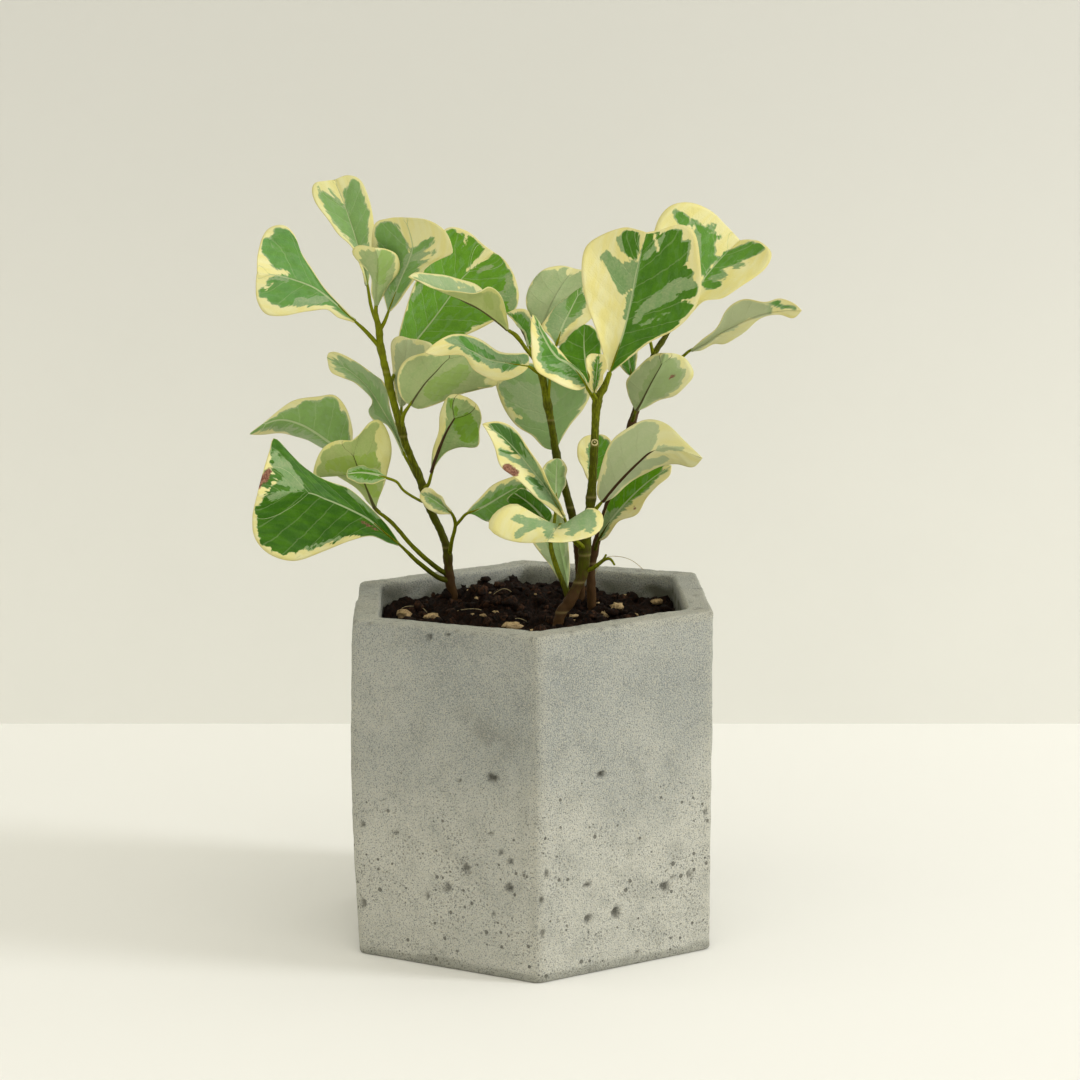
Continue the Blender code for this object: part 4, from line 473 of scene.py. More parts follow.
FRONT_LEAVES = [
    dict(petiole=[(20.5, 156.2, 0, 0.75)], base=(22.2, 160.6), mid=(24, 166, 26, 172, 27.4, 178, 28.6, 184,
        29.7, 190, 32.3, 200.3), left=(20.8, 164, 18.5, 172, 15.5, 181, 14, 189, 15.2, 196, 20, 199.6,
        26, 201.7, 30, 201), right=(26, 163.5, 33, 169, 40.5, 172.7, 45.5, 178, 47.7, 184, 47.6, 192, 46, 200,
        42, 202.4, 36.5, 201), depth=(0, -8), arch=2.5, lift=(-4, -5), green=((-0.3, -0.3), (0.98, 0.97, 0.96,
        0.96, 0.94, 0.88, 0.84, 0.84, 0.85, 0.8)), sage=((-0.3, -0.3), (1, 0.98, 0.98, 0.98, 0.96, 0.92, 0.88,
        0.87, 0.87, 0.83)), warm=0.8, deep=0.75, fork=0.86, rim=0.8, strokes=[("green side", 28.5, 194, 1.4,
        28, 199, 2.3), ("sage side", 25.5, 195.5, 0.7, 25, 198.5, 0.8), ("green side", 32, 195, 0.9, 33.5,
        199, 1.1), ("sage", 32, 193.5, 1, 37.5, 199.5, 0.6), ("sage side", 28.5, 188.5, 3.9, 25, 189, 3),
        ("sage side", 24.5, 189.5, 2.6, 21, 193.5, 1.7), ("sage side", 26, 185, 2, 24, 186.5, 1),
        ("sage side", 28, 183, 1.1, 26.5, 176.5, 0.3), ("sage side", 29, 175, 0.5, 31.5, 178.5, 1.4, 36.5,
        182, 2.2), ("sage side", 36, 181.5, 2.4, 42, 185.5, 2.1), ("sage side", 42, 186, 2, 44.5, 185.5, 1.4),
        ("sage side", 31, 174, 0.5, 39, 177.5, 0.5), ("green", 34, 175, 0.3, 39.5, 177.5, 0.6), ("cream",
        34.5, 199.5, 0.6, 35.5, 195.5, 0.1), ("cream", 31, 199.5, 0.3, 31.5, 201.5, 0.8), ("cream", 47, 190.5,
        1.6, 43, 191, 0.3), ("cream", 46.5, 181, 0.8, 42.5, 181, 0.2), ("cream", 31.5, 202.5, 1, 30.5, 197.5,
        0.15), ("cream", 38.5, 202, 0.9, 36, 200, 0.3), ("cream", 24.5, 193.5, 0.6, 28.5, 193, 0.2)]),
    dict(petiole=[(18.8, 152.8, 0, 0.55)], base=(17.7, 154.6), mid=(18.2, 158, 18.6, 162, 19, 166),
        left=(16.6, 157, 16.2, 161, 15.2, 164, 16.7, 165.9), right=(19.3, 156.5, 20.4, 159.3, 21.4, 162.8,
        20.7, 165.4), depth=(-3, -6), lift=(-2.5, -2.5), green=((0.4, 0.35, 0.3, 0.2), (0.4, 0.3, 0.3, 0.2)),
        sage=((0.6, 0.55, 0.5, 0.3), (0.6, 0.5, 0.5, 0.3)), warm=0.8, deep=0.3, fork=0.85),
    dict(petiole=[(18.6, 151.6, 0, 0.65), (17, 154.3, -1.5, 0.55)], base=(15.6, 156.6), mid=(13.3, 160.4,
        10.5, 163.1, 7.2, 165, 4.6, 168.5, 2.3, 173, 0.4, 177.3), left=(13, 155.7, 8.5, 157, 4, 159.3,
        1.5, 161.5, 0.3, 165.5, -0.3, 171, -0.1, 175), right=(15.4, 158.6, 13, 162.1, 10, 164.5, 7, 167.7,
        4.2, 171.8, 2, 175.2), depth=(-2.5, -12), arch=1, lift=(-5, 4), green=((0.3, 0.5, 0.66, 0.6, 0.3, 0.2,
        0.2), (0.5, 0.55, 0.6, 0.66, 0.7, 0.6, 0.3)), sage=((0.6, 0.72, 0.8, 0.78, 0.5, 0.4, 0.3), (0.65,
        0.68, 0.7, 0.76, 0.8, 0.7, 0.4)), pale=[(0.35, -0.3, 0.1, 0.2)], warm=0.4, deep=0.45, fork=0.85),
    dict(petiole=[(18.9, 153, 0, 0.6), (18, 155.2, 3, 0.5)], base=(17, 157.2), mid=(15.6, 162, 14.9, 168,
        15, 174.4), left=(13.5, 159.8, 9.5, 164, 7.6, 167.4, 9.7, 170.3, 12.8, 173.2), right=(18.5, 160,
        19.8, 165, 19.4, 170, 17.6, 173.6), depth=(4.8, 14), green=((1, 0.98, 0.96, 0.96, 0.9),
        (0.97, 0.97, 0.95, 0.9, 0.8)), sage=((1.1, 1.1, 1, 1, 0.97), (1, 1, 0.98, 0.95, 0.9)), deep=0.7),
    dict(petiole=[(17, 124.5, -2, 0.65)], base=(17.3, 128), mid=(17.7, 133, 18, 138, 18.3, 143.1),
        left=(15.6, 131, 13.5, 135.7, 13, 139.6, 15, 142.3), right=(20, 131, 22.5, 136, 23, 140.4, 21, 142.7),
        depth=(3.2, 10), lift=(-1, -1), green=((0.4, 0.35, 0.3, 0.3), (0.8, 0.85, 0.8, 0.7)),
        sage=((0.55, 0.5, 0.45, 0.4), (0.9, 0.92, 0.9, 0.8)), warm=0.8),
    dict(petiole=[(16.7, 119.4, -2.6, 0.75), (18.7, 121.9, -4, 0.6)], base=(20, 123.4), mid=(22.4, 126.4,
        26, 130.5, 30.5, 135, 34.5, 138.2, 40, 139.3, 48.8, 136.2), left=(23.2, 124.8, 27, 128, 31.5, 131.4,
        36, 133.7, 41, 134.3, 46, 133.6), right=(18.6, 126.5, 19.8, 133, 22.5, 140.8, 27.5, 145, 33, 147.3,
        38.5, 146, 43.5, 141.3, 46.7, 138.2), depth=(-4.7, -24), arch=-1, lift=(5, 2),
        sage=(0.8, 0.7, 0.3, -0.3, -0.3, -0.3), warm=0.2, bleach=0.8, rib=1.25, rim=0.6, stop=0.62,
        strokes=[("sage", 22, 128, 2, 27, 137.5, 5), ("sage", 27, 137.5, 5.3, 32, 142, 4), ("sage", 29.5,
        133.5, 1.3, 38, 136, 1.1), ("sage", 36.5, 139, 0.7, 43, 139, 0.5), ("sage", 23, 125.5, 1, 29.5, 132,
        1.6), ("sage", 31.5, 144.5, 2.2, 34.5, 144.5, 2)]),
    dict(petiole=[(15.2, 110, -3.5, 0.75), (12.8, 111.6, -6, 0.7), (10.8, 114.8, -7.5, 0.6)],
        base=(9.5, 118.5), mid=(7, 123, 4, 127.8, 0, 133, -4.5, 138.5, -9, 143, -14, 146), left=(7, 120.2,
        2.5, 124, -2, 128, -5.5, 131, -8.7, 134, -10.5, 139, -12.4, 143.3), right=(8.2, 123, 5.5, 128,
        2, 134.3, -1.5, 140.3, -5, 144.6, -9, 146.6, -12.3, 146.5), depth=(-8, -24), arch=1.5, lift=(-4, -3),
        warm=0, deep=0.85, fork=0.9, painted_light=0.05, rim=0.4, strokes=[("green", -11, 146, 1.1, -3.5, 140, 2.5,
        2.5, 131.5, 1.8), ("green", 2.5, 131.5, 1.7, 8.5, 122, 0.7), ("sage", -8.5, 138, 1.2, -2, 135, 1.6,
        2.5, 130.5, 1.6), ("sage", -0.5, 130.5, 1.3, 3.5, 126, 1.8), ("sage", 3.5, 126.5, 1.6, 8, 122, 0.8),
        ("green", -9, 138.5, 0.5, -6.5, 137.5, 0.6), ("green", -1, 131.5, 0.5, 2.5, 127.5, 0.8), ("sage", -3,
        140.5, 0.3, 7, 125.5, 0.5), ("cream", -11.5, 143.5, 0.5, -4, 136.5, 0.5), ("cream", -4.5, 133.5, 0.9,
        0.5, 131, 0.5), ("brown", -7, 133.5, 1.2, -5, 132, 1.2)]),
    dict(petiole=[(5.2, 112.5, -1, 0.6), (6.4, 117, 2, 0.5)], base=(7.1, 123.4), mid=(7, 128, 7.1, 132,
        7.3, 136.1), left=(5, 128, 3, 132.2, 4, 134.6, 5.7, 135.8), right=(9.2, 127.5, 10, 131.5, 9.7, 134.3,
        8.7, 135.7), depth=(3.8, 7), lift=(0, 2), green=((0.8, 0.8, 0.75, 0.6), (0.8, 0.8, 0.7, 0.6)),
        sage=((0.9, 0.9, 0.85, 0.7), (0.9, 0.9, 0.8, 0.7)), warm=0.9, deep=0.2, painted_light=0.45),
    dict(petiole=[(15.2, 110, -4, 0.7), (12.4, 112.6, -9, 0.6), (10, 115.5, -12.5, 0.5)], base=(8.3, 117),
        mid=(7.3, 115.8, 5.8, 114, 4.5, 111.9), left=(10.5, 117, 13, 118.6, 16.5, 121.6, 20, 120.4,
        20.3, 116.5, 17, 113.3, 11, 112), right=(4.5, 117.5, 0, 120.5, -5, 122.9, -10, 120.8, -12.5, 116.6,
        -9, 113.4, -3, 111.6), depth=(-14.5, -34), lift=(1, 1), warm=0.1, deep=0.4, painted_light=0.15, rim=0.6,
        strokes=[("sage", 6, 116.5, 1, -3, 118, 1.4, -5.5, 118.5, 0.8), ("sage", 0, 116.5, 1.2, -4, 114, 1.2),
        ("sage", 5, 116.5, 1.2, 5, 114, 1.4), ("sage", 7, 116.5, 1, 15.5, 118, 2.4), ("sage", 13.5, 116, 1.2,
        10.5, 114, 0.9), ("sage", 16, 119, 2.6, 16.5, 116, 1.8), ("cream", 2.5, 114.5, 0.8, 1.5, 116.5, 0.3),
        ("cream", 7.5, 114, 0.8, 8, 116, 0.3)]),
    dict(petiole=[(5.3, 112.6, -1, 0.6)], base=(4.7, 117), mid=(2.2, 120.3, -1, 123.4, -5, 126.2),
        left=(2.5, 118.3, -2, 120.4, -5.5, 122.6, -7.1, 124.3), right=(5.7, 120, 3.5, 123, 0, 126,
        -2.8, 127.6), depth=(-1.5, -8), lift=(1, 1), green=(1, 1, 0.97, 0.9), sage=(1.1, 1.1, 1.05, 1),
        warm=0.9, deep=0.85),
    dict(petiole=[(10.6, 95.6, -5, 0.7)], base=(10.4, 98.2), mid=(9.6, 103, 8.3, 109, 7.3, 115, 7, 120),
        left=(10.9, 102, 10.9, 107, 10.4, 112, 10.3, 117, 9.3, 119.6), right=(8, 100.6, 4.6, 106, 0.3, 111.6,
        -0.3, 116, 3.5, 119.4), depth=(-1.5, 12), lift=(0, 0.5), green=((0.6, 0.6, 0.55, 0.5, 0.3),
        (0.5, 0.5, 0.5, 0.45, 0.3)), sage=((0.95, 0.95, 0.95, 0.9, 0.7), (0.95, 0.95, 0.9, 0.85, 0.7)),
        warm=0.5, deep=0.2, fork=0.85, rib=0.3),
]

# The right stem, behind the front one
RIGHT_FOOT = [(17.8, 14.5, 71, 1.5), (17.8, 14.5, 86, 1.45)]
RIGHT_STEM = [
    (17.1, 98, 14, 1.35), (17.2, 105, 14, 1.2), (18.4, 111, 14, 1.1), (20.8, 119, 14.5, 1.05),
    (23, 127, 15, 1), (26.3, 138.5, 16, 1), (28.8, 147, 17, 1.1), (31.5, 156, 19, 0.95),
    (34.6, 165.5, 21, 0.9), (37, 169.5, 23, 0.75), (39.5, 173.5, 25.5, 0.55),
]
RIGHT_TWIGS = [[(34.5, 165.3, 21, 0.6), (33.8, 168.8, 21, 0.5), (32.6, 172.5, 21, 0.4)]]
RIGHT_LEAVES = [
    dict(petiole=[(37, 169.5, 23, 0.6)], base=(39.5, 173.5), mid=(43.3, 179.5, 48.3, 186.8, 53, 192.6,
        58.7, 198.1), left=(37.5, 177.5, 34.7, 186, 34.2, 196, 35.5, 203.5, 39, 207.8, 44.5, 208.7,
        50.5, 206.3, 55, 202), right=(44, 176.5, 48.5, 180.8, 54, 181.6, 60, 186, 66, 190.4, 67.6, 194.5,
        64.5, 197.6, 61.3, 198.3), depth=(25.5, 44), arch=1, lift=(-3, -5), warm=0.6, deep=0.25, fork=0.85,
        painted_light=0.03, rim=0.8, strokes=[("green", 40.5, 205.5, 1.2, 43, 203.5, 1.5), ("green", 46, 203, 0.5,
        46.5, 201, 0.9), ("green", 51, 202.5, 0.5, 48, 200, 1.3), ("green", 52, 199, 0.9, 48.5, 197.5, 1.9),
        ("green", 50.5, 195.5, 0.9, 48.5, 195.5, 2.2), ("green", 52, 193, 0.6, 49, 192, 1.8), ("green", 48.5,
        191, 1.4, 48, 188.5, 0.6), ("green", 49.5, 187.5, 1, 55.5, 193, 1.8), ("green", 55.5, 193, 1.9, 62.5,
        195.5, 1.7), ("green", 62.5, 195.5, 1.6, 65.5, 196.5, 0.8), ("sage", 57.5, 190.5, 0.8, 62.5, 192,
        0.3), ("green", 49, 185.5, 0.8, 52, 185.5, 1.2), ("sage", 54.5, 188, 0.9, 51.5, 187.5, 1.3), ("sage",
        46.5, 199.5, 1.2, 46.5, 194, 1), ("brown", 61, 188.5, 0.2, 61, 188, 0.15)]),
    dict(petiole=[(34, 163.4, 20.5, 0.6), (39, 163.6, 19, 0.5), (42.3, 164.9, 17.5, 0.45)],
        base=(44.8, 166.9), mid=(48.5, 168.6, 53, 171.5, 58, 174.2, 64, 176.9, 70, 178.2, 76.4, 178.3),
        left=(48, 167, 51.5, 169, 55, 168.9, 59.5, 171.5, 64, 175.9, 70, 177, 74, 176.2), right=(48, 169.7,
        52, 173, 55, 178.5, 60, 181.3, 66, 180.9, 70, 181.7, 74, 180.3), depth=(16.4, -2), lift=(2, -3),
        warm=0.1, bleach=(1, 0), rib=0.3, rim=0.4, strokes=[("sage", 44.5, 167, 1.4, 53, 173.5, 1.8), ("sage",
        54, 173.5, 2.4, 59, 178.5, 3, 66.5, 178.5, 1.6), ("cream", 56.5, 171.5, 1.5, 54, 170.5, 1), ("cream",
        69.5, 182, 3, 75.5, 177.5, 3), ("green", 67, 181.5, 0.9, 69, 181, 1), ("green", 70.5, 179.5, 0.35,
        74.5, 179, 0.25)]),
    dict(petiole=[(28.4, 146, 16.8, 0.75)], base=(29.6, 149.6), mid=(31, 152, 33, 156, 35, 159.8, 36.7, 162.9,
        38, 166.3), left=(33, 151, 37, 153, 41.5, 154.8, 45, 158, 45.9, 161, 44, 164.4, 41, 166),
        right=(28.2, 152.7, 26.7, 157.5, 29, 161, 32.5, 164.5, 35.5, 166.1), depth=(14, 2), lift=(2, 2),
        green=((0.7, 0.7, 0.75, 0.7, 0.6, 0.3), (0.3, 0.3, 0.3, 0.35, 0.3, 0.2)),
        sage=((0.85, 0.85, 0.85, 0.8, 0.7, 0.4), (0.97, 0.97, 0.95, 0.95, 0.8, 0.5)),
        brown=[(0.62, -0.45, 0.03, 0.07)], warm=0.6, fork=0.84, bleach=0.65, deep=0.2, rim=0.4),
    dict(petiole=[(17.9, 108.5, 14, 0.65)], base=(18.9, 112), mid=(22.5, 118, 28, 124.5, 34, 130, 40, 134),
        left=(20, 117, 22.5, 124, 27, 129.6, 32, 133.4, 37, 135), right=(21.5, 113.2, 25, 117.8, 30, 119.8,
        32.5, 124.2, 36, 128.1, 39.3, 131), depth=(11.6, -1), lift=(0, -1), sage=((1, 1, 1, 1, 0.9, 0.8),
        (0.5, 0.4, 0.3, 0.3, 0.3, 0.3)), strokes=[("green", 23, 122.5, 1.8, 31, 129.5, 3.2), ("green", 31,
        129.5, 3, 35.5, 133, 1.8), ("cream", 38, 133.5, 0.6, 40, 133.5, 0.6), ("sage", 20, 115, 0.6, 23.5,
        120.5, 1), ("brown", 29.5, 122, 0.3, 29.5, 121.5, 0.2)]),
    dict(petiole=[(30.6, 153, 18.5, 0.5), (29.3, 156, 17, 0.45)], base=(28.4, 159.4), mid=(27.9, 162.5,
        27, 167, 26, 171.5), left=(26.3, 161, 24, 164.5, 23, 169), right=(29.3, 161, 30, 166, 29, 170.5),
        depth=(16.3, 13), green=(0.6, 0.6, 0.5, 0.3), sage=(0.85, 0.85, 0.8, 0.6), warm=0.5, fork=0.85,
        bleach=0.8),
]

# Leaves

# The grid of a blade, its side veins, the ridge under its midrib, how many millimetres the fields on it
# can tell apart, and what they hold far from any patch or stroke
ROWS_PER_MM = 1.6
COLUMNS_PER_MM = 0.5
VEIN_SPACING = 4.6
RIDGE_WIDTH = 0.45
FIELD_SPAN = 20.0
FAR_OFF = -9.0


def lobes(reaches, phase):
    """The reach at a phase from 0 at the base to 1 at the tip: level over each sector, with a quick
    smooth step to the next and a shallow notch between the two."""
    reaches = np.array(reaches, float)
    x = np.clip(phase * len(reaches) - 0.5, 0, len(reaches) - 1.0001)
    first = x.astype(int)
    part = x - first
    step = ease(0.2, 0.8, part)
    notch = 0.08 * np.exp(-(((part - 0.5) / 0.16) ** 2))
    return reaches[first] * (1 - step) + reaches[first + 1] * step - notch


def spots(patches, s, t, width):
    """The greatest of 1 - |((s, t) - centre) / size| over the patches, in millimetres of half width."""
    found = np.full(s.shape, FAR_OFF)
    for along, across, length, breadth in patches:
        skewed = s - 0.2 * (np.abs(t) - abs(across))
        inside = 1 - np.hypot((skewed - along) / length, (t - across) / breadth)
        found = np.maximum(found, inside * width * breadth)
    return found


def painted(fields, strokes, place, t):
    """The green, sage and brown fields after tapered strokes laid one over another: each stretch adds
    its radius less the distance from its middle line, and takes that from the colours it covers. One
    that is named for a side keeps to its end's side of the midrib."""
    green, sage, brown = fields
    for name, *line in strokes:
        kind, _, one_side = name.partition(" ")
        marks = np.reshape(line, (-1, 3))
        for start, end in zip(marks, marks[1:]):
            way, off = end[:2] - start[:2], place - start[:2]
            along = np.clip(off @ way / (way @ way + 1e-9), 0, 1)
            inside = start[2] + (end[2] - start[2]) * along
            inside = inside - np.linalg.norm(off - along[..., None] * way, axis=-1)
            if one_side:
                nearest = np.argmin(np.linalg.norm(place - end[:2], axis=-1))
                inside = np.where(t * t.flat[nearest] > -0.01, inside, FAR_OFF)
            if kind == "green":
                green, sage = np.maximum(green, inside), np.maximum(sage, inside + 0.35)
            elif kind == "sage":
                green, sage = np.minimum(green, -inside), np.maximum(sage, inside)
            elif kind == "cream":
                green, sage = np.minimum(green, -inside), np.minimum(sage, -inside)
            else:
                brown = np.maximum(brown, inside)
    return green, sage, brown


def vein_fork(s, fork):
    """Where the midrib's two ends lie across the blade: on the middle up to the fork, and past it at
    ((s - fork) / (1 - fork) / 0.7)^0.8 of each half."""
    return (np.clip(s - fork, 0, 1) / (1 - fork) / 0.7) ** 0.8


def midrib(leaf):
    """A blade's midrib as the eye sees it: (x, z) from the base to the tip."""
    return np.reshape(leaf["base"] + leaf["mid"], (-1, 2))


def midrib_depth(leaf, s):
    """Straight from the depth of the base to that of the tip, plus 4 arch s (1 - s)."""
    first, last = leaf["depth"]
    return first + (last - first) * s + leaf["arch"] * 4 * s * (1 - s)


def blade_sheet(leaf, rows, columns):
    """The middle of a blade B(s, t) = midrib(s) + (margin(s) - midrib(s)) |t| seen from the eye, at the
    depth midrib_depth(s) + lift sin(pi s^0.85)^0.8 |t|^1.5, with s from base to tip and t from -1 at the
    left margin to 1 at the right. Gives s, t, the half widths, the places as seen and the points."""
    spine = smooth(midrib(leaf), rows + 1)
    margins = [leaf["base"] + leaf[side] + leaf["mid"][-2:] for side in ("left", "right")]
    margins = np.stack([smooth(np.reshape(margin, (-1, 2)), rows + 1) for margin in margins])
    s = np.linspace(0, 1, rows + 1)[:, None]
    spread = np.linspace(-1, 1, 2 * columns + 1)
    t = (np.sign(spread) * np.abs(spread) ** 1.25)[None, :]
    half = (t[0] > 0).astype(int)
    across = np.abs(t)
    place = spine[:, None] + (margins[half].transpose(1, 0, 2) - spine[:, None]) * across[..., None]
    width = np.linalg.norm(margins - spine[None], axis=2)[half].T
    lift = np.array(leaf["lift"])[half][None, :]
    lift = lift * np.clip(np.sin(math.pi * s**0.85), 0, 1) ** 0.8 * across**1.5
    middle = sight(place[..., 0], place[..., 1], midrib_depth(leaf, s) + lift)
    return s + 0 * t, t + 0 * s, width, place, middle


def leaf_fields(leaf, s, t, width, place):
    """The measures that the leaf's colours read, each three to a name. Those in millimetres are kept as
    a half and a share of FIELD_SPAN."""
    across = np.abs(t)
    phase = np.clip(s - 0.1 * across, 0, 1)

    def reaching(reaches):
        first, last = reaches if isinstance(reaches[0], tuple) else (reaches, reaches)
        return (np.where(t > 0, lobes(last, phase), lobes(first, phase)) - across) * width

    def packed(*fields):
        return np.stack([np.clip(f / FIELD_SPAN + 0.5, 0, 1) for f in fields], -1)

    fields = reaching(leaf["green"]), reaching(leaf["sage"]), spots(leaf["brown"], s, t, width)
    green, sage, brown = painted(fields, leaf["strokes"], place, t)
    inner = (1 - across) * width - leaf["rim"] * ease(0, 0.2, s)
    green, sage = np.minimum(green, inner), np.minimum(sage, inner)
    fork, rib, stop, bleach = (leaf[name] for name in ("fork", "rib", "stop", "bleach"))
    vein = (across - vein_fork(s, fork)) * width
    fork_start, fork_end = fork + 0.25 * (1 - fork), fork + 0.75 * (1 - fork)
    rib_width = (1.15 - 0.8 * ease(0, 1.1, s)) * ease(fork_end, fork_start, s) / 1.2
    rib_width = rib_width * max(1, rib) * ease(stop, stop - 0.08, s)
    first_bleach, last_bleach = bleach if isinstance(bleach, tuple) else (bleach, bleach)
    faded = first_bleach + (last_bleach - first_bleach) * ease(0.7, 0.78, s)
    return {
        "pattern": packed(green, sage, spots(leaf["pale"], s, t, width)),
        "ribs": packed(vein, (1 - across) * width, brown),
        "traits": np.stack([leaf["warm"] + 0 * s, leaf["deep"] + 0 * s, rib_width], -1),
        # The last mark is the share of painted light: a painted sheen on the upper face, a painted glow
        # through the underside
        "marks": np.stack([faded, rib + 0 * s, leaf["painted_light"] + 0 * s], -1),
    }


def add_leaf(body, settings, seed, leaf):
    """A blade whose faces stand off from its middle by half the thickness, which thins to the margins,
    and the underside by a ridge along the midrib as well. The middle swells between the side veins by
    sin(pi |t|)^0.6, and the margins wave by |t|^2 sin(pi s)."""
    length = np.linalg.norm(np.diff(midrib(leaf), axis=0), axis=1).sum()
    rows = int(np.clip(round(length * ROWS_PER_MM), 22, 62))
    columns = int(np.clip(round(length * COLUMNS_PER_MM), 10, 20))
    s, t, width, place, middle = blade_sheet(leaf, rows, columns)
    across = np.abs(t)

    normal = np.cross(np.gradient(middle, axis=1), np.gradient(middle, axis=0))
    normal[0], normal[-1] = normal[1].mean(axis=0), normal[-2].mean(axis=0)
    normal /= np.linalg.norm(normal, axis=2)[..., None] + 1e-9

    veins = max(5, round(length / VEIN_SPACING))
    phase = (s - 0.13 * across) * veins + 0.5 * (t > 0)
    between = 0.5 - 0.5 * np.cos(2 * math.pi * phase)
    pillow = np.sin(math.pi * np.clip(across, 0, 1)) ** 0.6 * np.clip(s * 6, 0, 1)
    relief = settings.quilting / MM * between * pillow
    waves = 2 * math.pi * (s * (2.1 + 0.5 * (seed % 3)) + 0.37 * seed) + 2 * t
    relief = relief + settings.waviness / MM * across**2 * np.sin(waves) * np.sin(math.pi * s)
    middle = middle + normal * relief[..., None]

    thin = settings.thickness / MM * (0.45 + 0.55 * (1 - across**3))
    ridge = 0.5 * (1 - 0.8 * s) * np.exp(-((across * width / RIDGE_WIDTH) ** 2))
    ridge = ridge * (s < leaf["fork"] + 0.1)
    upper = middle + normal * (thin / 2 - 0.25 * ridge * thin)[..., None]
    lower = middle - normal * (thin / 2 + ridge)[..., None]
    upper[[0, -1]] = middle[[0, -1]]

    def gather(first, second):
        """Both poles, then the inner rows of the upper face and those of the underside."""
        return np.vstack([first[[0, -1], columns], *first[1:-1], *second[1:-1]])

    fields = leaf_fields(leaf, s, t, width, place)
    values = {name: gather(value, value) for name, value in fields.items()}
    sheet = np.stack([phase / 10, across * width / 10 + 2.0 * seed + 1.0 * (t > 0)], -1)
    inner = np.arange((rows - 1) * s.shape[1]).reshape(rows - 1, -1)
    top = np.vstack([0 * inner[0], 2 + inner, 0 * inner[0] + 1])
    bottom = np.vstack([0 * inner[0], 2 + inner.size + inner, 0 * inner[0] + 1])
    start = body.count
    body.add(gather(upper, lower), grid_faces(top), 0, gather(sheet, sheet), **values)
    body.add_faces(grid_faces(np.stack([bottom[:, 0], top[:, 0]], 1)) + start, 0)
    body.add_faces(grid_faces(np.stack([top[:, -1], bottom[:, -1]], 1)) + start, 0)
    body.add_faces(grid_faces(bottom)[:, ::-1] + start, 1)


# Materials

# Colours within the materials that aren't among the settings, as linear red, green and blue
YELLOWED_SAGE = (0.22, 0.29, 0.06)
TAN_MARGIN = (0.55, 0.42, 0.13)
# Painted glow of light shining through an underside
LIT_THROUGH = (0.62, 0.68, 0.13)
DARK_RUST = (0.13, 0.045, 0.03)
RUST = (0.28, 0.14, 0.085)
BARK_STREAK = (0.045, 0.028, 0.006)
BARK_CRACK = (0.03, 0.018, 0.008)
BUD_SCAR_PALE = (0.62, 0.54, 0.28)
# Painted shade in the hollows of the grain
SOIL_HOLLOW_SHADE = (0.003, 0.001, 0.001)
DARK_CRUMB = (0.009, 0.004, 0.002)
RED_CRUMB = (0.13, 0.057, 0.027)
BROWN_CHIP = (0.16, 0.085, 0.035)
ROOT = (0.5, 0.42, 0.24)
BROWN_ROOT = (0.22, 0.15, 0.07)
DAYLIGHT = (1.0, 0.965, 0.84)


class Nodes:
    """Adds nodes to one tree. A socket given as an input is linked and anything else is set, a colour
    as a solid one."""

    def __init__(self, tree):
        self.tree = tree

    def give(self, sockets, values):
        for name, value in values.items():
            if isinstance(value, bpy.types.NodeSocket):
                self.tree.links.new(value, sockets[name])
            elif sockets[name].type == "RGBA":
                sockets[name].default_value = (*value, 1.0)
            else:
                sockets[name].default_value = value

    def add(self, kind, inputs=None, **settings):
        node = self.tree.nodes.new(kind)
        for name, value in settings.items():
            setattr(node, name, value)
        self.give(node.inputs, inputs or {})
        return node

    def math(self, operation, *values):
        return self.add("ShaderNodeMath", dict(enumerate(values)), operation=operation).outputs[0]

    def times(self, a, b):
        return self.math("MULTIPLY", a, b)

    def less(self, a, b):
        return self.math("SUBTRACT", a, b)

    def line(self, x, slope, start):
        """x times the slope, plus the start."""
        return self.math("MULTIPLY_ADD", x, slope, start)

    def step(self, low, high, x, least=0.0, most=1.0):
        """Least below low, most above high, and smooth between them."""
        inputs = {"Value": x, "From Min": low, "From Max": high, "To Min": least, "To Max": most}
        return self.add("ShaderNodeMapRange", inputs, interpolation_type="SMOOTHSTEP").outputs[0]

    def mix(self, share, a, b):
        return self.add("ShaderNodeMix", {0: share, 6: a, 7: b}, data_type="RGBA").outputs[2]

    def tint(self, colour, tone, field, low, high, most=1.0, least=0.0):
        """A colour mixed with a tone, from the least share where a field is low to the most."""
        return self.mix(self.step(low, high, field, least, most), colour, tone)

    def noise(self, vector, scale, detail=3.0, roughness=0.5, stretch=None, offset=(0, 0, 0)):
        """About 0.25 to 0.75, centred on a half."""
        if stretch or any(offset):
            inputs = {"Vector": vector, "Scale": stretch or (1, 1, 1), "Location": offset}
            vector = self.add("ShaderNodeMapping", inputs).outputs[0]
        inputs = {"Vector": vector, "Scale": scale, "Detail": detail, "Roughness": roughness}
        return self.add("ShaderNodeTexNoise", inputs).outputs[0]

    def cells(self, vector, scale, feature="F1", output="Distance"):
        inputs = {"Vector": vector, "Scale": scale}
        return self.add("ShaderNodeTexVoronoi", inputs, feature=feature).outputs[output]

    def split(self, colour):
        return self.add("ShaderNodeSeparateColor", {0: colour}).outputs[:3]

    def fields(self, name):
        """The three values that the mesh carries under this name."""
        return self.split(self.add("ShaderNodeAttribute", attribute_name=name).outputs["Color"])

    def place(self):
        """The object's own coordinates in millimetres."""
        node = self.add("ShaderNodeTexCoord").outputs["Object"]
        return self.add("ShaderNodeMapping", {"Vector": node, "Scale": (1000, 1000, 1000)}).outputs[0]

    def grain(self, place, size):
        """The shared grain's tone and height."""
        inputs = {"Vector": place, "Size": size}
        return self.add("ShaderNodeGroup", inputs, node_tree=grain_group()).outputs

    def bump(self, height, strength, depth, invert=False):
        """A normal from a height, which is as deep as this many millimetres."""
        inputs = {"Height": height, "Strength": strength, "Distance": depth * MM}
        return self.add("ShaderNodeBump", inputs, invert=invert).outputs[0]


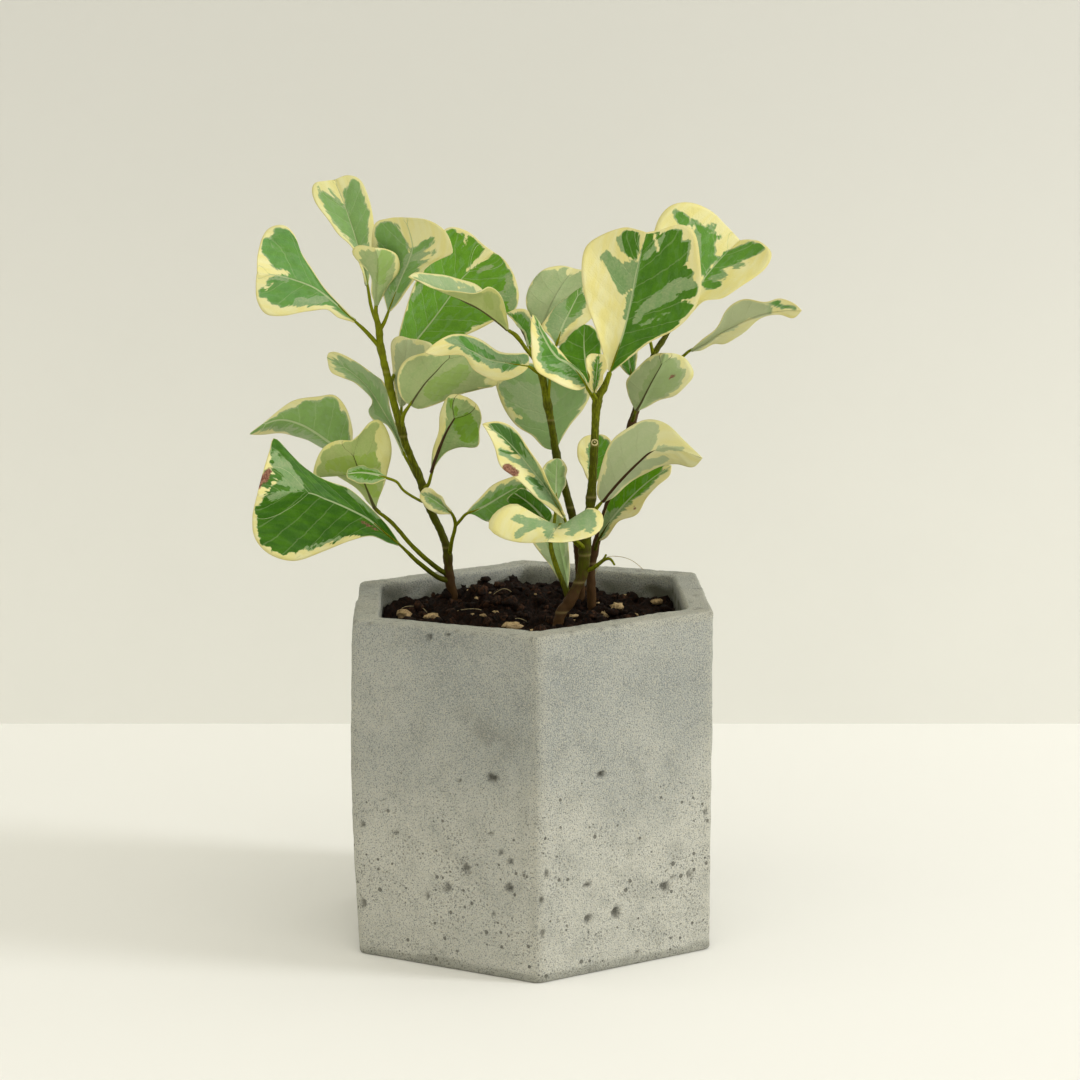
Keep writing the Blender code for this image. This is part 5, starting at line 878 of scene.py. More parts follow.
def group(name, inputs, outputs):
    """An empty node group with named sockets, each given as (kind, default)."""
    tree = bpy.data.node_groups.new(name, "ShaderNodeTree")
    for title, (kind, value) in inputs.items():
        socket = tree.interface.new_socket(title, in_out="INPUT", socket_type="NodeSocket" + kind)
        if value is not None:
            socket.default_value = value
    for title, kind in outputs.items():
        tree.interface.new_socket(title, in_out="OUTPUT", socket_type="NodeSocket" + kind)
    source = tree.nodes.new("NodeGroupInput")
    sink = tree.nodes.new("NodeGroupOutput")
    return tree, Nodes(tree), source.outputs, sink.inputs


def grain_group():
    """Fine irregular grain for concrete, soil and bark: a spread of tones and a height."""
    if "fine_grain" in bpy.data.node_groups:
        return bpy.data.node_groups["fine_grain"]
    inputs = {"Vector": ("Vector", None), "Size": ("Float", 1.0)}
    tree, make, source, sink = group("fine_grain", inputs, {"Tone": "Float", "Height": "Float"})
    scale = make.math("DIVIDE", 1.0, source["Size"])
    coarse = make.noise(source["Vector"], scale, 4, 0.6)
    fine = make.noise(source["Vector"], make.times(scale, 3.4), 3, 0.7, offset=(7, 3, 5))
    tone = make.line(fine, 0.45, make.times(coarse, 0.55))
    make.give(sink, {"Tone": tone, "Height": make.line(coarse, 0.4, fine)})
    return tree


def leaf_group():
    """The variegation, veins and relief of a fig leaf, from the fields that its blade carries, with a painted
    sheen over the upper face and a painted glow of light shining through the underside.
    """
    if "fig_leaf" in bpy.data.node_groups:
        return bpy.data.node_groups["fig_leaf"]
    colours = ("Green", "Warm green", "Deep green", "Sage", "Cream", "Pale cream", "Midrib", "Underside")
    inputs = dict.fromkeys(colours, ("Color", (1, 1, 1, 1)))
    inputs |= dict.fromkeys(("Midrib width", "Side veins", "Fade", "Is underside"), ("Float", 0.0))
    outputs = {"Color": "Color", "Height": "Float", "Roughness": "Float"}
    tree, make, source, sink = group("fig_leaf", inputs, outputs)

    def millimetres(name):
        """Fields in millimetres, which the mesh carries as a half and a share of FIELD_SPAN."""
        return [make.line(socket, FIELD_SPAN, -FIELD_SPAN / 2) for socket in make.fields(name)]

    green, sage, pale = millimetres("pattern")
    rib, margin, brown = millimetres("ribs")
    warm, deep, rib_width = make.fields("traits")
    bleach, rib_shown, painted_light = make.fields("marks")
    under = source["Is underside"]

    sheet = make.add("ShaderNodeUVMap", uv_map="surface").outputs[0]
    rays = make.noise(sheet, 1.0, 2, 0.5, stretch=(26, 2.6, 1))
    ragged = make.noise(sheet, 1.0, 3, 0.6, stretch=(52, 7, 1), offset=(4, 9, 0))
    other = make.noise(sheet, 1.0, 3, 0.6, stretch=(36, 5, 1), offset=(1, 5, 3))
    drift = make.noise(sheet, 1.0, 2, 0.5, stretch=(7, 4, 1), offset=(8, 2, 1))
    place = make.place()
    fine = make.noise(place, 1.7, 3, 0.6)
    mottle = make.noise(place, 0.45, 3, 0.55)

    inland = make.step(0.0, 2.0, margin, 0.1, 1.0)

    def border(field, first, second, reach, soft):
        wave = make.line(second, 0.7, make.less(first, 0.85))
        moved = make.line(make.times(wave, inland), reach, field)
        return make.step(-soft, soft, moved)

    is_green = border(green, rays, ragged, 2.6, 0.16)
    is_sage = border(sage, rays, other, 2.4, 0.2)
    is_pale = border(pale, rays, other, 6.0, 0.35)
    is_brown = border(brown, ragged, fine, 1.6, 0.25)

    tone = make.mix(warm, source["Green"], source["Warm green"])
    tone = make.mix(make.times(deep, 0.9), tone, source["Deep green"])
    tone = make.tint(tone, source["Warm green"], drift, 0.38, 0.66, 0.3)
    tone = make.tint(tone, source["Deep green"], mottle, 0.45, 0.7, 0.25)
    veiled = make.tint(source["Sage"], source["Green"], rays, 0.35, 0.65, most=0.6, least=0.25)
    veil = make.step(0.52, 0.6, make.noise(sheet, 1.0, 2, 0.5, stretch=(16, 6, 1), offset=(3, 3, 8)))
    veil = make.times(veil, make.line(deep, -0.25, 0.3))
    tone = make.mix(veil, tone, veiled)
    sage_tone = make.mix(make.times(warm, 0.35), source["Sage"], YELLOWED_SAGE)
    sage_tone = make.tint(sage_tone, source["Green"], drift, 0.35, 0.65, 0.4)
    sage_tone = make.tint(sage_tone, source["Pale cream"], fine, 0.4, 0.7, 0.12)
    cream = make.tint(source["Cream"], source["Pale cream"], drift, 0.3, 0.7)
    cream = make.tint(cream, TAN_MARGIN, margin, 0.4, 0.0, 0.16)

    blade = make.mix(is_sage, cream, sage_tone)
    blade = make.mix(is_green, blade, tone)
    on_green = make.times(is_pale, make.times(is_green, 0.9))
    blade = make.mix(on_green, blade, sage_tone)

    phase = make.add("ShaderNodeSeparateXYZ", {0: sheet}).outputs[0]
    wander = make.times(make.less(drift, 0.5), 0.3)
    cycle = make.math("FRACT", make.math("ADD", make.line(phase, 10.0, wander), 0.5))
    off = make.math("ABSOLUTE", make.less(cycle, 0.5))
    side_vein = make.step(0.06, 0.015, off)
    reach_in = make.step(0.3, 1.2, margin)
    side_vein = make.times(side_vein, reach_in)
    net = make.step(0.09, 0.02, make.cells(place, 0.75, "DISTANCE_TO_EDGE"))
    seen_veins = make.times(source["Side veins"], make.line(is_sage, 0.8, 0.12))
    veins = make.times(side_vein, seen_veins)
    blade = make.mix(veins, blade, source["Midrib"])
    small = make.times(make.times(net, seen_veins), 0.12)
    blade = make.mix(small, blade, source["Midrib"])

    narrow = make.times(source["Midrib width"], make.times(rib_width, 1.2))
    distance = make.math("ABSOLUTE", rib)
    outer = make.line(narrow, 1.3, 0.01)
    main = make.less(1.0, make.step(0.0, 1.0, make.math("DIVIDE", distance, outer)))
    main = make.step(0.15, 0.5, main)
    # Painted sheen: the upper face fades towards the sheen colour, and the underside towards its own tint as
    # it bleaches
    upper_sheen = make.times(painted_light, make.less(1.0, under))
    share = make.math("ADD", make.times(bleach, under), upper_sheen)
    where = make.line(is_sage, 0.5, 0.5)
    faded = make.times(make.times(share, where), source["Fade"])
    blade = make.mix(faded, blade, source["Underside"])
    # Painted glow of light shining through the underside
    lit = make.times(make.times(painted_light, under), 0.9)
    blade = make.mix(lit, blade, LIT_THROUGH)
    shown = make.math("ADD", make.times(rib_shown, under), make.less(1.0, under))
    blade = make.mix(make.times(make.times(main, 0.85), shown), blade, source["Midrib"])
    rust = make.tint(DARK_RUST, RUST, fine, 0.4, 0.6)
    blade = make.mix(is_brown, blade, rust)

    vein_depth = make.times(side_vein, make.line(is_sage, -0.35, -0.1))
    relief = make.line(main, -1.0, vein_depth)
    relief = make.line(net, -0.16, relief)
    relief = make.line(fine, 0.35, relief)
    roughness = make.line(is_brown, 0.2, make.line(mottle, 0.2, 0.42))
    make.give(sink, {"Color": blade, "Height": relief, "Roughness": roughness})
    return tree


def new_material(name):
    """A material, its nodes and the sockets of its shader."""
    material = bpy.data.materials.new(name)
    material.use_nodes = True
    make = Nodes(material.node_tree)
    return material, make, material.node_tree.nodes["Principled BSDF"].inputs


def leaf_material(name, underside):
    """Satin leaf: the upper face, or the paler, duller underside with its brown midrib."""
    s = bpy.context.scene.fig_leaves
    material, make, shader = new_material(name)

    values = {
        "Midrib": s.under_rib if underside else s.rib,
        "Midrib width": 0.27 if underside else 0.32,
        "Side veins": 0.06 if underside else 0.2,
        # On the upper face this is the colour of the painted sheen
        "Underside": s.underside if underside else s.painted_light,
        "Fade": s.underside_fade if underside else 1.0,
        "Is underside": 1.0 if underside else 0.0,
    }
    paler = 0.05 if underside else 0.0
    for title in ("Green", "Warm green", "Deep green", "Sage", "Cream", "Pale cream"):
        colour = getattr(s, title.lower().replace(" ", "_"))
        values[title] = [a * (1 - paler) + b * paler for a, b in zip(colour, s.underside)]
    leaf = make.add("ShaderNodeGroup", values, node_tree=leaf_group()).outputs
    looks = {
        "Base Color": leaf["Color"],
        "Roughness": 0.62 if underside else leaf["Roughness"],
        "Specular IOR Level": 0.2,
        "Normal": make.bump(leaf["Height"], 0.5 if underside else 0.6, 0.25, invert=underside),
    }
    make.give(shader, looks)
    return material


def stem_material():
    """Bark: green where young, olive and then brown where old, ringed at the nodes."""
    s = bpy.context.scene.fig_stems
    material, make, shader = new_material("fig_bark")
    age, ring, dark = make.fields("bark")
    place = make.place()
    grain = make.grain(place, 0.9)
    streak = make.noise(place, 1.0, 3, 0.6, stretch=(2.4, 2.4, 0.5))
    shifted = make.line(make.less(streak, 0.5), 0.9, age)
    colour = make.tint(s.young, s.olive, shifted, 0.0, 0.45)
    colour = make.tint(colour, s.old, shifted, 0.45, 0.95)
    colour = make.tint(colour, BARK_STREAK, streak, 0.45, 0.62, 0.12)
    colour = make.tint(colour, s.scar, grain["Tone"], 0.55, 0.75, 0.07)
    colour = make.mix(make.times(make.times(ring, ring), 0.7), colour, s.scar)
    colour = make.mix(make.less(ring, 1.0), colour, BUD_SCAR_PALE)
    colour = make.mix(make.times(dark, 0.8), colour, BARK_CRACK)
    bump = make.bump(make.line(streak, 0.6, grain["Height"]), 0.5, 0.3)
    looks = {"Base Color": colour, "Roughness": 0.55, "Specular IOR Level": 0.08, "Normal": bump}
    make.give(shader, looks)
    return material


def concrete_material():
    """Cast concrete: cool grey, clouded, with pinholes, dark pits, stains and a paler, worn rim. The pits,
    pinholes and nicks are darkened by painted shade, painted highlight lightens the rim's front and the
    corners along with the wear, the foot is darker, and painted shade runs down the inside of the hollow.
    """
    s = bpy.context.scene.fig_pot
    material, make, shader = new_material("cast_concrete")
    # Pits and nicks darkened by painted shade, the worn rim with painted highlight on its front and the
    # corners, and stains with a darker foot and painted shade inside
    pit, worn, stain_and_shade = make.fields("wear")
    place = make.place()
    grain = make.grain(place, 0.75)
    cloud = make.noise(place, 0.035, 3, 0.5)
    patch = make.noise(place, 0.12, 4, 0.6, offset=(30, 11, 4))
    sand = make.noise(place, 3.0, 2, 0.7)
    coarse_sand = make.noise(place, 1.5, 3, 0.7, offset=(9, 1, 2))
    low = make.add("ShaderNodeSeparateXYZ", {0: place}).outputs[2]
    clouded = make.step(0.35, 0.65, cloud, 0.0, 0.4)
    lighter = make.line(make.step(85.0, 8.0, low), 0.85, clouded)
    colour = make.mix(lighter, s.colour, s.light_colour)
    colour = make.tint(colour, s.dark_colour, patch, 0.45, 0.7, 0.35)
    # Paler worn rim, with painted highlight on the rim's front and on the corners
    colour = make.mix(make.times(worn, 0.65), colour, s.worn_colour)
    colour = make.tint(colour, s.dark_colour, sand, 0.5, 0.36, 0.95)
    colour = make.tint(colour, s.worn_colour, sand, 0.5, 0.64, 0.95)
    colour = make.tint(colour, s.dark_colour, coarse_sand, 0.42, 0.28, 0.6)
    gate = make.noise(place, 0.09, 2, 0.5, offset=(3, 40, 9))
    many = make.line(make.step(70.0, 35.0, low), 0.75, 0.25)
    open_to = make.times(make.step(0.36, 0.6, gate), many)
    varied = make.times(*make.split(make.cells(place, 0.5, output="Color"))[:2])
    size = make.times(open_to, make.line(varied, 0.42, 0.05))
    pinhole = make.step(-0.02, 0.07, make.less(size, make.cells(place, 0.5)))
    small = make.line(open_to, 0.24, 0.08)
    tiny = make.step(0.0, 0.07, make.less(small, make.cells(place, 1.0)))
    holes = make.math("MAXIMUM", pinhole, make.times(tiny, 0.55))
    # Painted shade in the pits, pinholes and nicks
    dark = make.math("MAXIMUM", make.times(holes, 0.7), make.times(pit, 0.8))
    colour = make.mix(dark, colour, s.pit_shade_colour)
    # Dark stains, a darker band at the foot, and painted shade down the inside of the hollow
    colour = make.mix(make.times(stain_and_shade, 0.55), colour, s.stain_and_shade_colour)
    height = make.line(sand, 1.4, make.times(grain["Height"], 0.6))
    height = make.line(holes, -1.2, make.line(coarse_sand, 1.0, height))
    looks = {
        "Base Color": colour,
        "Roughness": make.step(0.3, 0.7, grain["Tone"], 0.72, 0.9),
        "Specular IOR Level": 0.25,
        "Normal": make.bump(height, 0.8, 0.5),
    }
    make.give(shader, looks)
    return material


def soil_material(name, dark, light, share):
    """Moist fibrous soil, or chips in it: dark crumbs with lighter fibres and flecks, and painted shade in
    the hollows of the grain.
    """
    material, make, shader = new_material(name)
    place = make.place()
    grain = make.grain(place, 1.3)
    fibre = make.noise(place, 0.6, 4, 0.7, stretch=(2.2, 0.7, 1.6))
    colour = make.tint(dark, light, fibre, 0.4, 0.7, share)
    # Painted shade where the grain is low
    colour = make.tint(colour, SOIL_HOLLOW_SHADE, grain["Tone"], 0.5, 0.3, 0.6)
    bump = make.bump(grain["Height"], 0.9, 0.6)
    looks = {"Base Color": colour, "Roughness": 0.85, "Specular IOR Level": 0.12, "Normal": bump}
    make.give(shader, looks)
    return material


def table_material(colour):
    """Matt tabletop."""
    material, make, shader = new_material("pale_table")
    make.give(shader, {"Base Color": colour, "Roughness": 0.9, "Specular IOR Level": 0.1})
    return material


def wall_material(low, high, top):
    """Matt card that fades from one colour at the table to a darker one at its top, a painted shade for the
    light falling off up the wall, and can't be seen from behind."""
    material, make, shader = new_material("pale_wall")
    place = make.place()
    rise = make.add("ShaderNodeSeparateXYZ", {0: place}).outputs[2]
    # Painted shade: the wall darkens from the lower colour to the upper one as it rises
    colour = make.tint(low, high, rise, 0, top)
    colour = make.tint(colour, high, make.noise(place, 0.02, 3, 0.5), 0.3, 0.7, 0.06)
    make.give(shader, {"Base Color": colour, "Roughness": 0.9, "Specular IOR Level": 0.1})
    back = make.add("ShaderNodeNewGeometry").outputs["Backfacing"]
    clear = make.add("ShaderNodeBsdfTransparent").outputs[0]
    solid = material.node_tree.nodes["Principled BSDF"].outputs[0]
    both = make.add("ShaderNodeMixShader", {0: back, 1: solid, 2: clear}).outputs[0]
    make.give(material.node_tree.nodes["Material Output"].inputs, {"Surface": both})
    return material


# Sizes and colours


class FigPotSettings(bpy.types.PropertyGroup):
    wall: length_property("Wall", "Thickness of the planter's wall", WALL, 3, 15)
    rim_round: length_property("Rim rounding", "Radius of the rim's worn edges", 1.1, 0.2, 3)
    pit_depth: length_property("Pit depth", "Depth of the largest pits in the faces", 1.1, 0, 3)
    unevenness: length_property("Unevenness", "How far the cast faces wander from flat", 0.12, 0, 1)
    colour: colour_property("Concrete", "Main colour of the concrete", "A0A5A3")
    light_colour: colour_property("Light concrete", "Lighter clouds and sand grains", "D2D2C9")
    dark_colour: colour_property("Dark concrete", "Darker clouds between the grains", "7F8380")
    # Also paints the highlight on the rim's front and on the corners
    worn_colour: colour_property("Worn rim", "Rubbed rim and edges", "BEBBAB")
    # Painted shade inside the pits and pinholes
    pit_shade_colour: colour_property("Pits", "Inside of the pits and pinholes", "45443C")
    # Colour of the stains, the darker foot and the painted shade inside the hollow
    stain_and_shade_colour: colour_property("Damp", "Stained or damp concrete", "5E5F52")


class FigSoilSettings(bpy.types.PropertyGroup):
    lumpiness: length_property("Lumpiness", "Height of the lumps in the soil", 1.1, 0, 4)
    crumbs: bpy.props.IntProperty(
        name="Crumbs", description="Loose crumbs of soil", default=520, min=0, max=900
    )
    dark: colour_property("Soil", "Moist soil", "0B0502")
    light: colour_property("Fibre", "Lighter fibres and crumbs", "4A2A16")
    chip: colour_property("Chips", "Tan chips of bark and stone", "C8AE82")


class FigLeafSettings(bpy.types.PropertyGroup):
    thickness: length_property("Thickness", "Thickness of a leaf blade", 0.42, 0.1, 0.7)
    quilting: length_property("Quilting", "How far the blade rises between its side veins", 0.12, 0, 0.5)
    waviness: length_property("Waviness", "How far the margins wave", 0.35, 0, 1)
    green: colour_property("Green", "Blue-leaning green of the blades", "558B45")
    warm_green: colour_property("Warm green", "Yellow-leaning green of the blades", "5A9000")
    deep_green: colour_property("Deep green", "Darkest green of the blades", "2A5802")
    sage: colour_property("Sage", "Pale grey-green between the green and the cream", "7F9A72")
    cream: colour_property("Cream", "Yellow cream of the margins", "DAD189")
    pale_cream: colour_property("Pale cream", "Palest cream of the margins", "DCD7A2")
    rib: colour_property("Midrib", "Midrib and veins of the upper face", "A9B98A")
    under_rib: colour_property("Underside midrib", "Midrib and veins of the underside", "3C2810")
    # Colour of the painted sheen on the upper faces
    painted_light: colour_property("Painted sheen", "Soft sheen over the paler upper faces", "A9B88C")
    underside: colour_property("Underside", "Tint of the undersides", "B9BF96")
    underside_fade: share_property("Underside fade", "How far the underside fades to its tint", 0.75)


class FigStemSettings(bpy.types.PropertyGroup):
    swelling: share_property("Node swelling", "How much a stem thickens where a leaf leaves it", 0.22)
    young: colour_property("Young", "Green twigs and petioles", "727A0E")
    olive: colour_property("Olive", "Middle of the stems", "434800")
    old: colour_property("Old", "Bark at the foot of the stems", "45301A")
    scar: colour_property("Scar", "Pale rings where leaves have fallen", "94865A")


class FigStageSettings(bpy.types.PropertyGroup):
    table: colour_property("Table", "Tabletop", "EFEFED")
    # The wall's colours, between which it darkens upwards as painted shade
    wall_low: colour_property("Lower wall", "Wall just above the table", "E3E3DF")
    wall_high: colour_property("Upper wall", "Wall at the top of the view", "CECECB")
    key: bpy.props.FloatProperty(
        name="Key light", description="Power of the soft key light", default=24.0, min=0, unit="POWER"
    )
    fill: bpy.props.FloatProperty(
        name="Fill", description="Strength of the light from all round", default=1.03, min=0
    )


# The planter

# Pits in the two front faces: (x, z, width, height), in millimetres as seen from the front
PITS = [
    (-10.1, 56.6, 3.4, 2.3), (19.4, 56.3, 2.4, 1.6), (-19.2, 54.5, 1.2, 1.2), (-23, 23.5, 1.5, 3),
    (-17.7, 29.8, 2, 2.4), (-5.8, 26, 2.2, 2.5), (-8, 35.8, 1.4, 1.4), (-5.5, 33.7, 1.4, 1.4),
    (-10.7, 41, 1.2, 1.2), (-37.1, 37.1, 1.5, 1.5), (-46.3, 38, 1.5, 1.6), (-28.7, 20.2, 1.2, 1.7),
    (-10.2, 18.1, 1.4, 1.4), (23.7, 16.2, 2.8, 3), (15.6, 16.1, 2.2, 2.2), (37.9, 21, 2.7, 2.5),
    (15.3, 25.8, 2.2, 1.2), (44.9, 23.2, 1.7, 2.3), (40.2, 23.2, 1.3, 1.3), (49.4, 40.6, 1.2, 2.3),
    (29.8, 3.4, 1.4, 1.2), (4, 31, 1.2, 2.6), (2.7, 23.9, 1.2, 2.2), (3, 14.3, 1.2, 2.2),
    (-47.2, 14.8, 1.6, 2.8), (-27.6, 94.4, 1.4, 1.8), (-22.4, 95.4, 1.3, 1),
]
# Dark smudges on the left face: (x, z, width, height, strength)
SMUDGES = [
    (-13, 69, 10, 10, 0.6), (-6, 68, 15, 9, 0.4), (-18, 73, 10, 6, 0.25), (-9, 62.5, 9, 6, 0.25),
    (-2.5, 50, 4, 40, 0.2), (-22, 94, 40, 9, 0.2),
]


def from_corner(turn):
    """The angle from the nearest of the hexagon's corners."""
    return (turn + math.pi / 6) % (math.pi / 3) - math.pi / 6


def compass(turn):
    """An angle from the planter's front corner as one from the frame's +X."""
    return turn + POT_YAW - math.pi / 2


def hexagon_radius(turn, flat, corner):
    """Distance from the axis to a hexagon with rounded corners, at an angle from a corner: flat /
    cos(angle from the face), or on a corner's arc c cos a + sqrt(corner^2 - c^2 sin^2 a)."""
    part = from_corner(turn)
    centre = (flat - corner) / math.cos(math.pi / 6)
    limit = np.arctan2(corner / 2, centre + corner * math.cos(math.pi / 6))
    straight = flat / np.cos(math.pi / 6 - np.abs(part))
    bent = np.sqrt(np.clip(corner**2 - (centre * np.sin(part)) ** 2, 0, None))
    return np.where(np.abs(part) < limit, centre * np.cos(part) + bent, straight)


def hexagon_turns(per_face, per_corner):
    """Angles round the planter, closer together at its corners, the first at the front corner."""
    arc = np.linspace(-CORNER_TURN, CORNER_TURN, per_corner, endpoint=False)
    face = np.linspace(CORNER_TURN, math.pi / 3 - CORNER_TURN, per_face, endpoint=False)
    each = np.concatenate([arc, face])
    return np.concatenate([each + k * math.pi / 3 for k in range(6)])


def inner_lean(x):
    """The uneven pour inside the planter and in its soil, which moves both sides the same way."""
    return x - LEAN * np.abs(x) / HALF_WIDTH


def outer_lean(x, y, z):
    """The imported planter's uneven pour, which pulls each side in and lets the left one bulge."""
    level = np.clip(z / HEIGHT, 0, 1)
    left = LEAN * np.where(level < 0.6, 3 * level - 1, 0.8) + BULGE * np.sin(math.pi * level)
    left = np.where(y > 0, left - 0.6 * (x < 0), left)
    shift = np.where(x < 0, left, LEAN)
    return x - shift * np.abs(x) / HALF_WIDTH


def pot_profile(wall, bend):
    """The planter's section from the middle of its foot, up the outside, over the rim and down inside
    to the middle of its floor: (share of the flat distance kept, inset, height, inside)."""
    rows = [(0, 0, 0, 0), (0.5, 0, 0, 0), (0.85, 0, 0, 0), (0.97, 0, 0, 0)]
    for a in np.linspace(0, 90, 5):
        turn = math.radians(a)
        rows.append((1, bend * 0.8 * (1 - math.sin(turn)), bend * 0.8 * (1 - math.cos(turn)), 0))
    for z in np.linspace(2.0, HEIGHT - bend - 0.5, 124):
        rows.append((1, 0, z, 0))
    for a in np.linspace(0, 90, 6):
        turn = math.radians(a)
        rows.append((1, bend * (1 - math.cos(turn)), HEIGHT - bend * (1 - math.sin(turn)), 0))
    for inset in np.linspace(bend + 0.7, wall - bend - 0.7, 6):
        rows.append((1, inset, HEIGHT, 0))
    for a in np.linspace(90, 0, 6):
        turn = math.radians(a)
        rows.append((1, wall - bend * (1 - math.cos(turn)), HEIGHT - bend * (1 - math.sin(turn)), 1))
    for z in np.linspace(HEIGHT - bend - 0.8, 78, 24):
        rows.append((1, wall, z, 1))
    rows += [(1, wall, z, 1) for z in (60, 30, FLOOR + 1)]
    rows += [(0.9, wall, FLOOR, 1), (0, wall, FLOOR, 1)]
    return np.array(rows, float)


class OBJECT_OT_fig_pot(bpy.types.Operator):
    """Cast the hexagonal concrete planter, with its pits, worn rim and hollow"""

    bl_idname = "object.fig_pot"
    bl_label = "Hexagonal Planter"

    def execute(self, context):
        s = context.scene.fig_pot
        wall, bend = s.wall / MM, s.rim_round / MM
        turns = hexagon_turns(64, 14)
        share, inset, z, inner = (pot_profile(wall, bend)[:, k : k + 1] for k in range(4))
        level = np.clip(z / HEIGHT, 0, 1)
        flat = (FOOT_RADIUS + (RIM_RADIUS - FOOT_RADIUS) * level) * math.cos(math.pi / 6)
        outer = hexagon_radius(turns[None, :], flat - FLAT_INSET - inset, CORNER_ROUND)
        hollow = hexagon_radius(turns[None, :], flat - inset, INNER_CORNER_ROUND)
        radius = np.where(inner > 0, hollow, outer) * share
        way = compass(turns)
        x, y = radius * np.cos(way), radius * np.sin(way)
        z = z + 0 * x
        bumps = wave_noise(x, y, z, 3, 9) + 0.5 * wave_noise(x, y, z, 4, 2.2)
        push = s.unevenness / MM * bumps * ease(0, 1.5, z) * (share > 0.99)
        facing = np.stack([np.cos(way), np.sin(way)], -1)[None]
        front = ease(5, -5, y) * (inner < 1)
        pit = np.zeros_like(x)
        for px, pz, pw, ph in PITS:
            warp = 0.16 * wave_noise(x * 0.9 + pz, y * 0.9, z * 0.9, 8)
            r = np.hypot((x - px) / pw * 2 * 0.94, (z - pz) / ph * 2 * 0.94) + warp
            pit = np.maximum(pit, ease(1.15, 0.55, r) * front * min(1, 0.35 + pw / 4))
        nicks = ease(0.8, 1.15, wave_noise(x, y, z, 21, 2.1))
        nicks = nicks * ease(1.6, 0.4, np.abs(z - HEIGHT)) * (share > 0.99) * (inner < 1)
        push = push - s.pit_depth / MM * pit - 0.22 * nicks
        push = np.where(inner > 0, -push, push)
        x, y = x + facing[..., 0] * push, y + facing[..., 1] * push
        rim_waves = 0.10 * wave_noise(x, y, 0 * x, 31, 6)
        rim_waves = rim_waves + 0.05 * wave_noise(x, y, 0 * x, 32, 1.5)
        near_rim = ease(HEIGHT - 16, HEIGHT - bend, z)
        z = z + (RIM_TILT * x - 0.12) * near_rim + rim_waves * (z > HEIGHT - bend) - 0.1 * nicks
        inward = ease(bend, wall - bend, inset)
        x = (1 - inward) * outer_lean(x, y, z) + inward * inner_lean(x)
        # The rim is paler from wear, with painted highlight added along its front and on the corners
        corner = ease(CORNER_TURN, math.radians(0.8), np.abs(from_corner(turns)))[None, :] * (inner < 1)
        rim = ease(HEIGHT - 2.2, HEIGHT - 0.4, z) * (0.55 + 0.45 * (y < 5))
        worn = 0.7 * rim + 0.35 * corner * (share > 0.99) + 0.08 * wave_noise(x, y, z, 9, 4)
        worn = np.clip(worn, 0, 1)
        stain_and_shade = np.zeros_like(x)
        for px, pz, pw, ph, share_of_damp in SMUDGES:
            warp = 0.3 * wave_noise(x, y, z, 12, 2.2)
            r = np.hypot((x - px) / pw * 2, (z - pz) / ph * 2) + warp
            stain_and_shade = np.maximum(stain_and_shade, ease(1.3, 0.2, r) * front * share_of_damp)
        # Darker towards the foot
        foot = ease(3.4, 1.6, z + 0.5 * wave_noise(x / 6, y / 6, z, 13)) * (inner < 1) * 0.75
        # Painted shade down the inside of the hollow, deeper towards the right, with a mottle
        within = (inner > 0) * ease(HEIGHT - 1, HEIGHT - 4, z) * (0.85 + 0.8 * ease(15, 45, x))
        within = within * (1 + 0.35 * wave_noise(x, y, z, 14, 4))
        stain_and_shade = np.maximum(np.maximum(stain_and_shade, foot), within)
        body = Body()
        # Carried to the material: painted shade in the pits, wear with painted highlight, and stains with
        # painted shade
        wear = poled(np.stack([np.maximum(pit, 0.4 * nicks), worn, stain_and_shade], -1))
        body.add(poled(np.stack([x, y, z], -1)), poled_faces(*x.shape), wear=wear)
        body.finish("concrete_planter", [concrete_material()], ["pot"])
        return {"FINISHED"}


# The soil

# How far crumbs keep from the soil's edge, and how many small flecks there are
CRUMB_MARGIN = 2.2
FLECKS = 26
# Tan chips on the soil: (x, y, length, breadth)
CHIPS = [
    (-37.3, 6.6, 4.6, 3), (-29.2, 5.2, 4, 1.8), (-23, 9.6, 2.6, 1.4),
    (-5.5, -9.5, 4.4, 2.8), (0.5, -11, 3.4, 1.8), (21.3, 6.6, 3, 2), (25, 10.5, 4.6, 2.6),
    (30, 5.2, 2.4, 1.6), (36.7, 21, 3.4, 2.2), (12, 3, 2, 1.2), (-14, 1, 1.8, 1),
    (3, 24, 2.4, 1.4), (-22, 28, 2, 1.3), (28, 30, 2.2, 1.2),
]
# Fine roots and the thread at the right: (x, y, z) along each
FIBRE_RADIUS = 0.1
FIBRES = [
    [(-24, 9, 89), (-22, 9, 90.6), (-18.5, 7.5, 91.6), (-15, 8.5, 91.2), (-13, 10, 89)],
    [(17, 33, 89), (18.5, 37, 95), (21.5, 39.5, 100.4), (26, 40, 101.2), (31, 38.5, 99.6), (35.5, 35, 95),
     (36, 33, 89)],
    [(-40, 12, 89), (-37, 14, 91), (-32, 13, 90.8), (-30, 12, 88.6)],
    [(-14, 22, 91), (-8, 19, 95.4), (-3, 21, 91)],
    [(26, -2, 88), (30, 0, 90.6), (33, 3, 88)],
    [(-8, 2, 88), (-4, 0, 90.4), (1, 1, 88)],
]


def soil_height(x, y):
    """The packed soil's height: a heap behind the middle, a slope and two slow waves."""
    heap = 4.4 * np.exp(-((x + 9) ** 2) / 520 - (y - 25) ** 2 / 320)
    waves = 0.8 * np.sin(x * 0.41 + 0.7) * np.cos(y * 0.37 - 0.42) + 0.55 * np.sin(x * 0.83 - y * 0.71 + 0.7)
    return SOIL_TOP + heap + 0.020 * x + 0.022 * y + waves


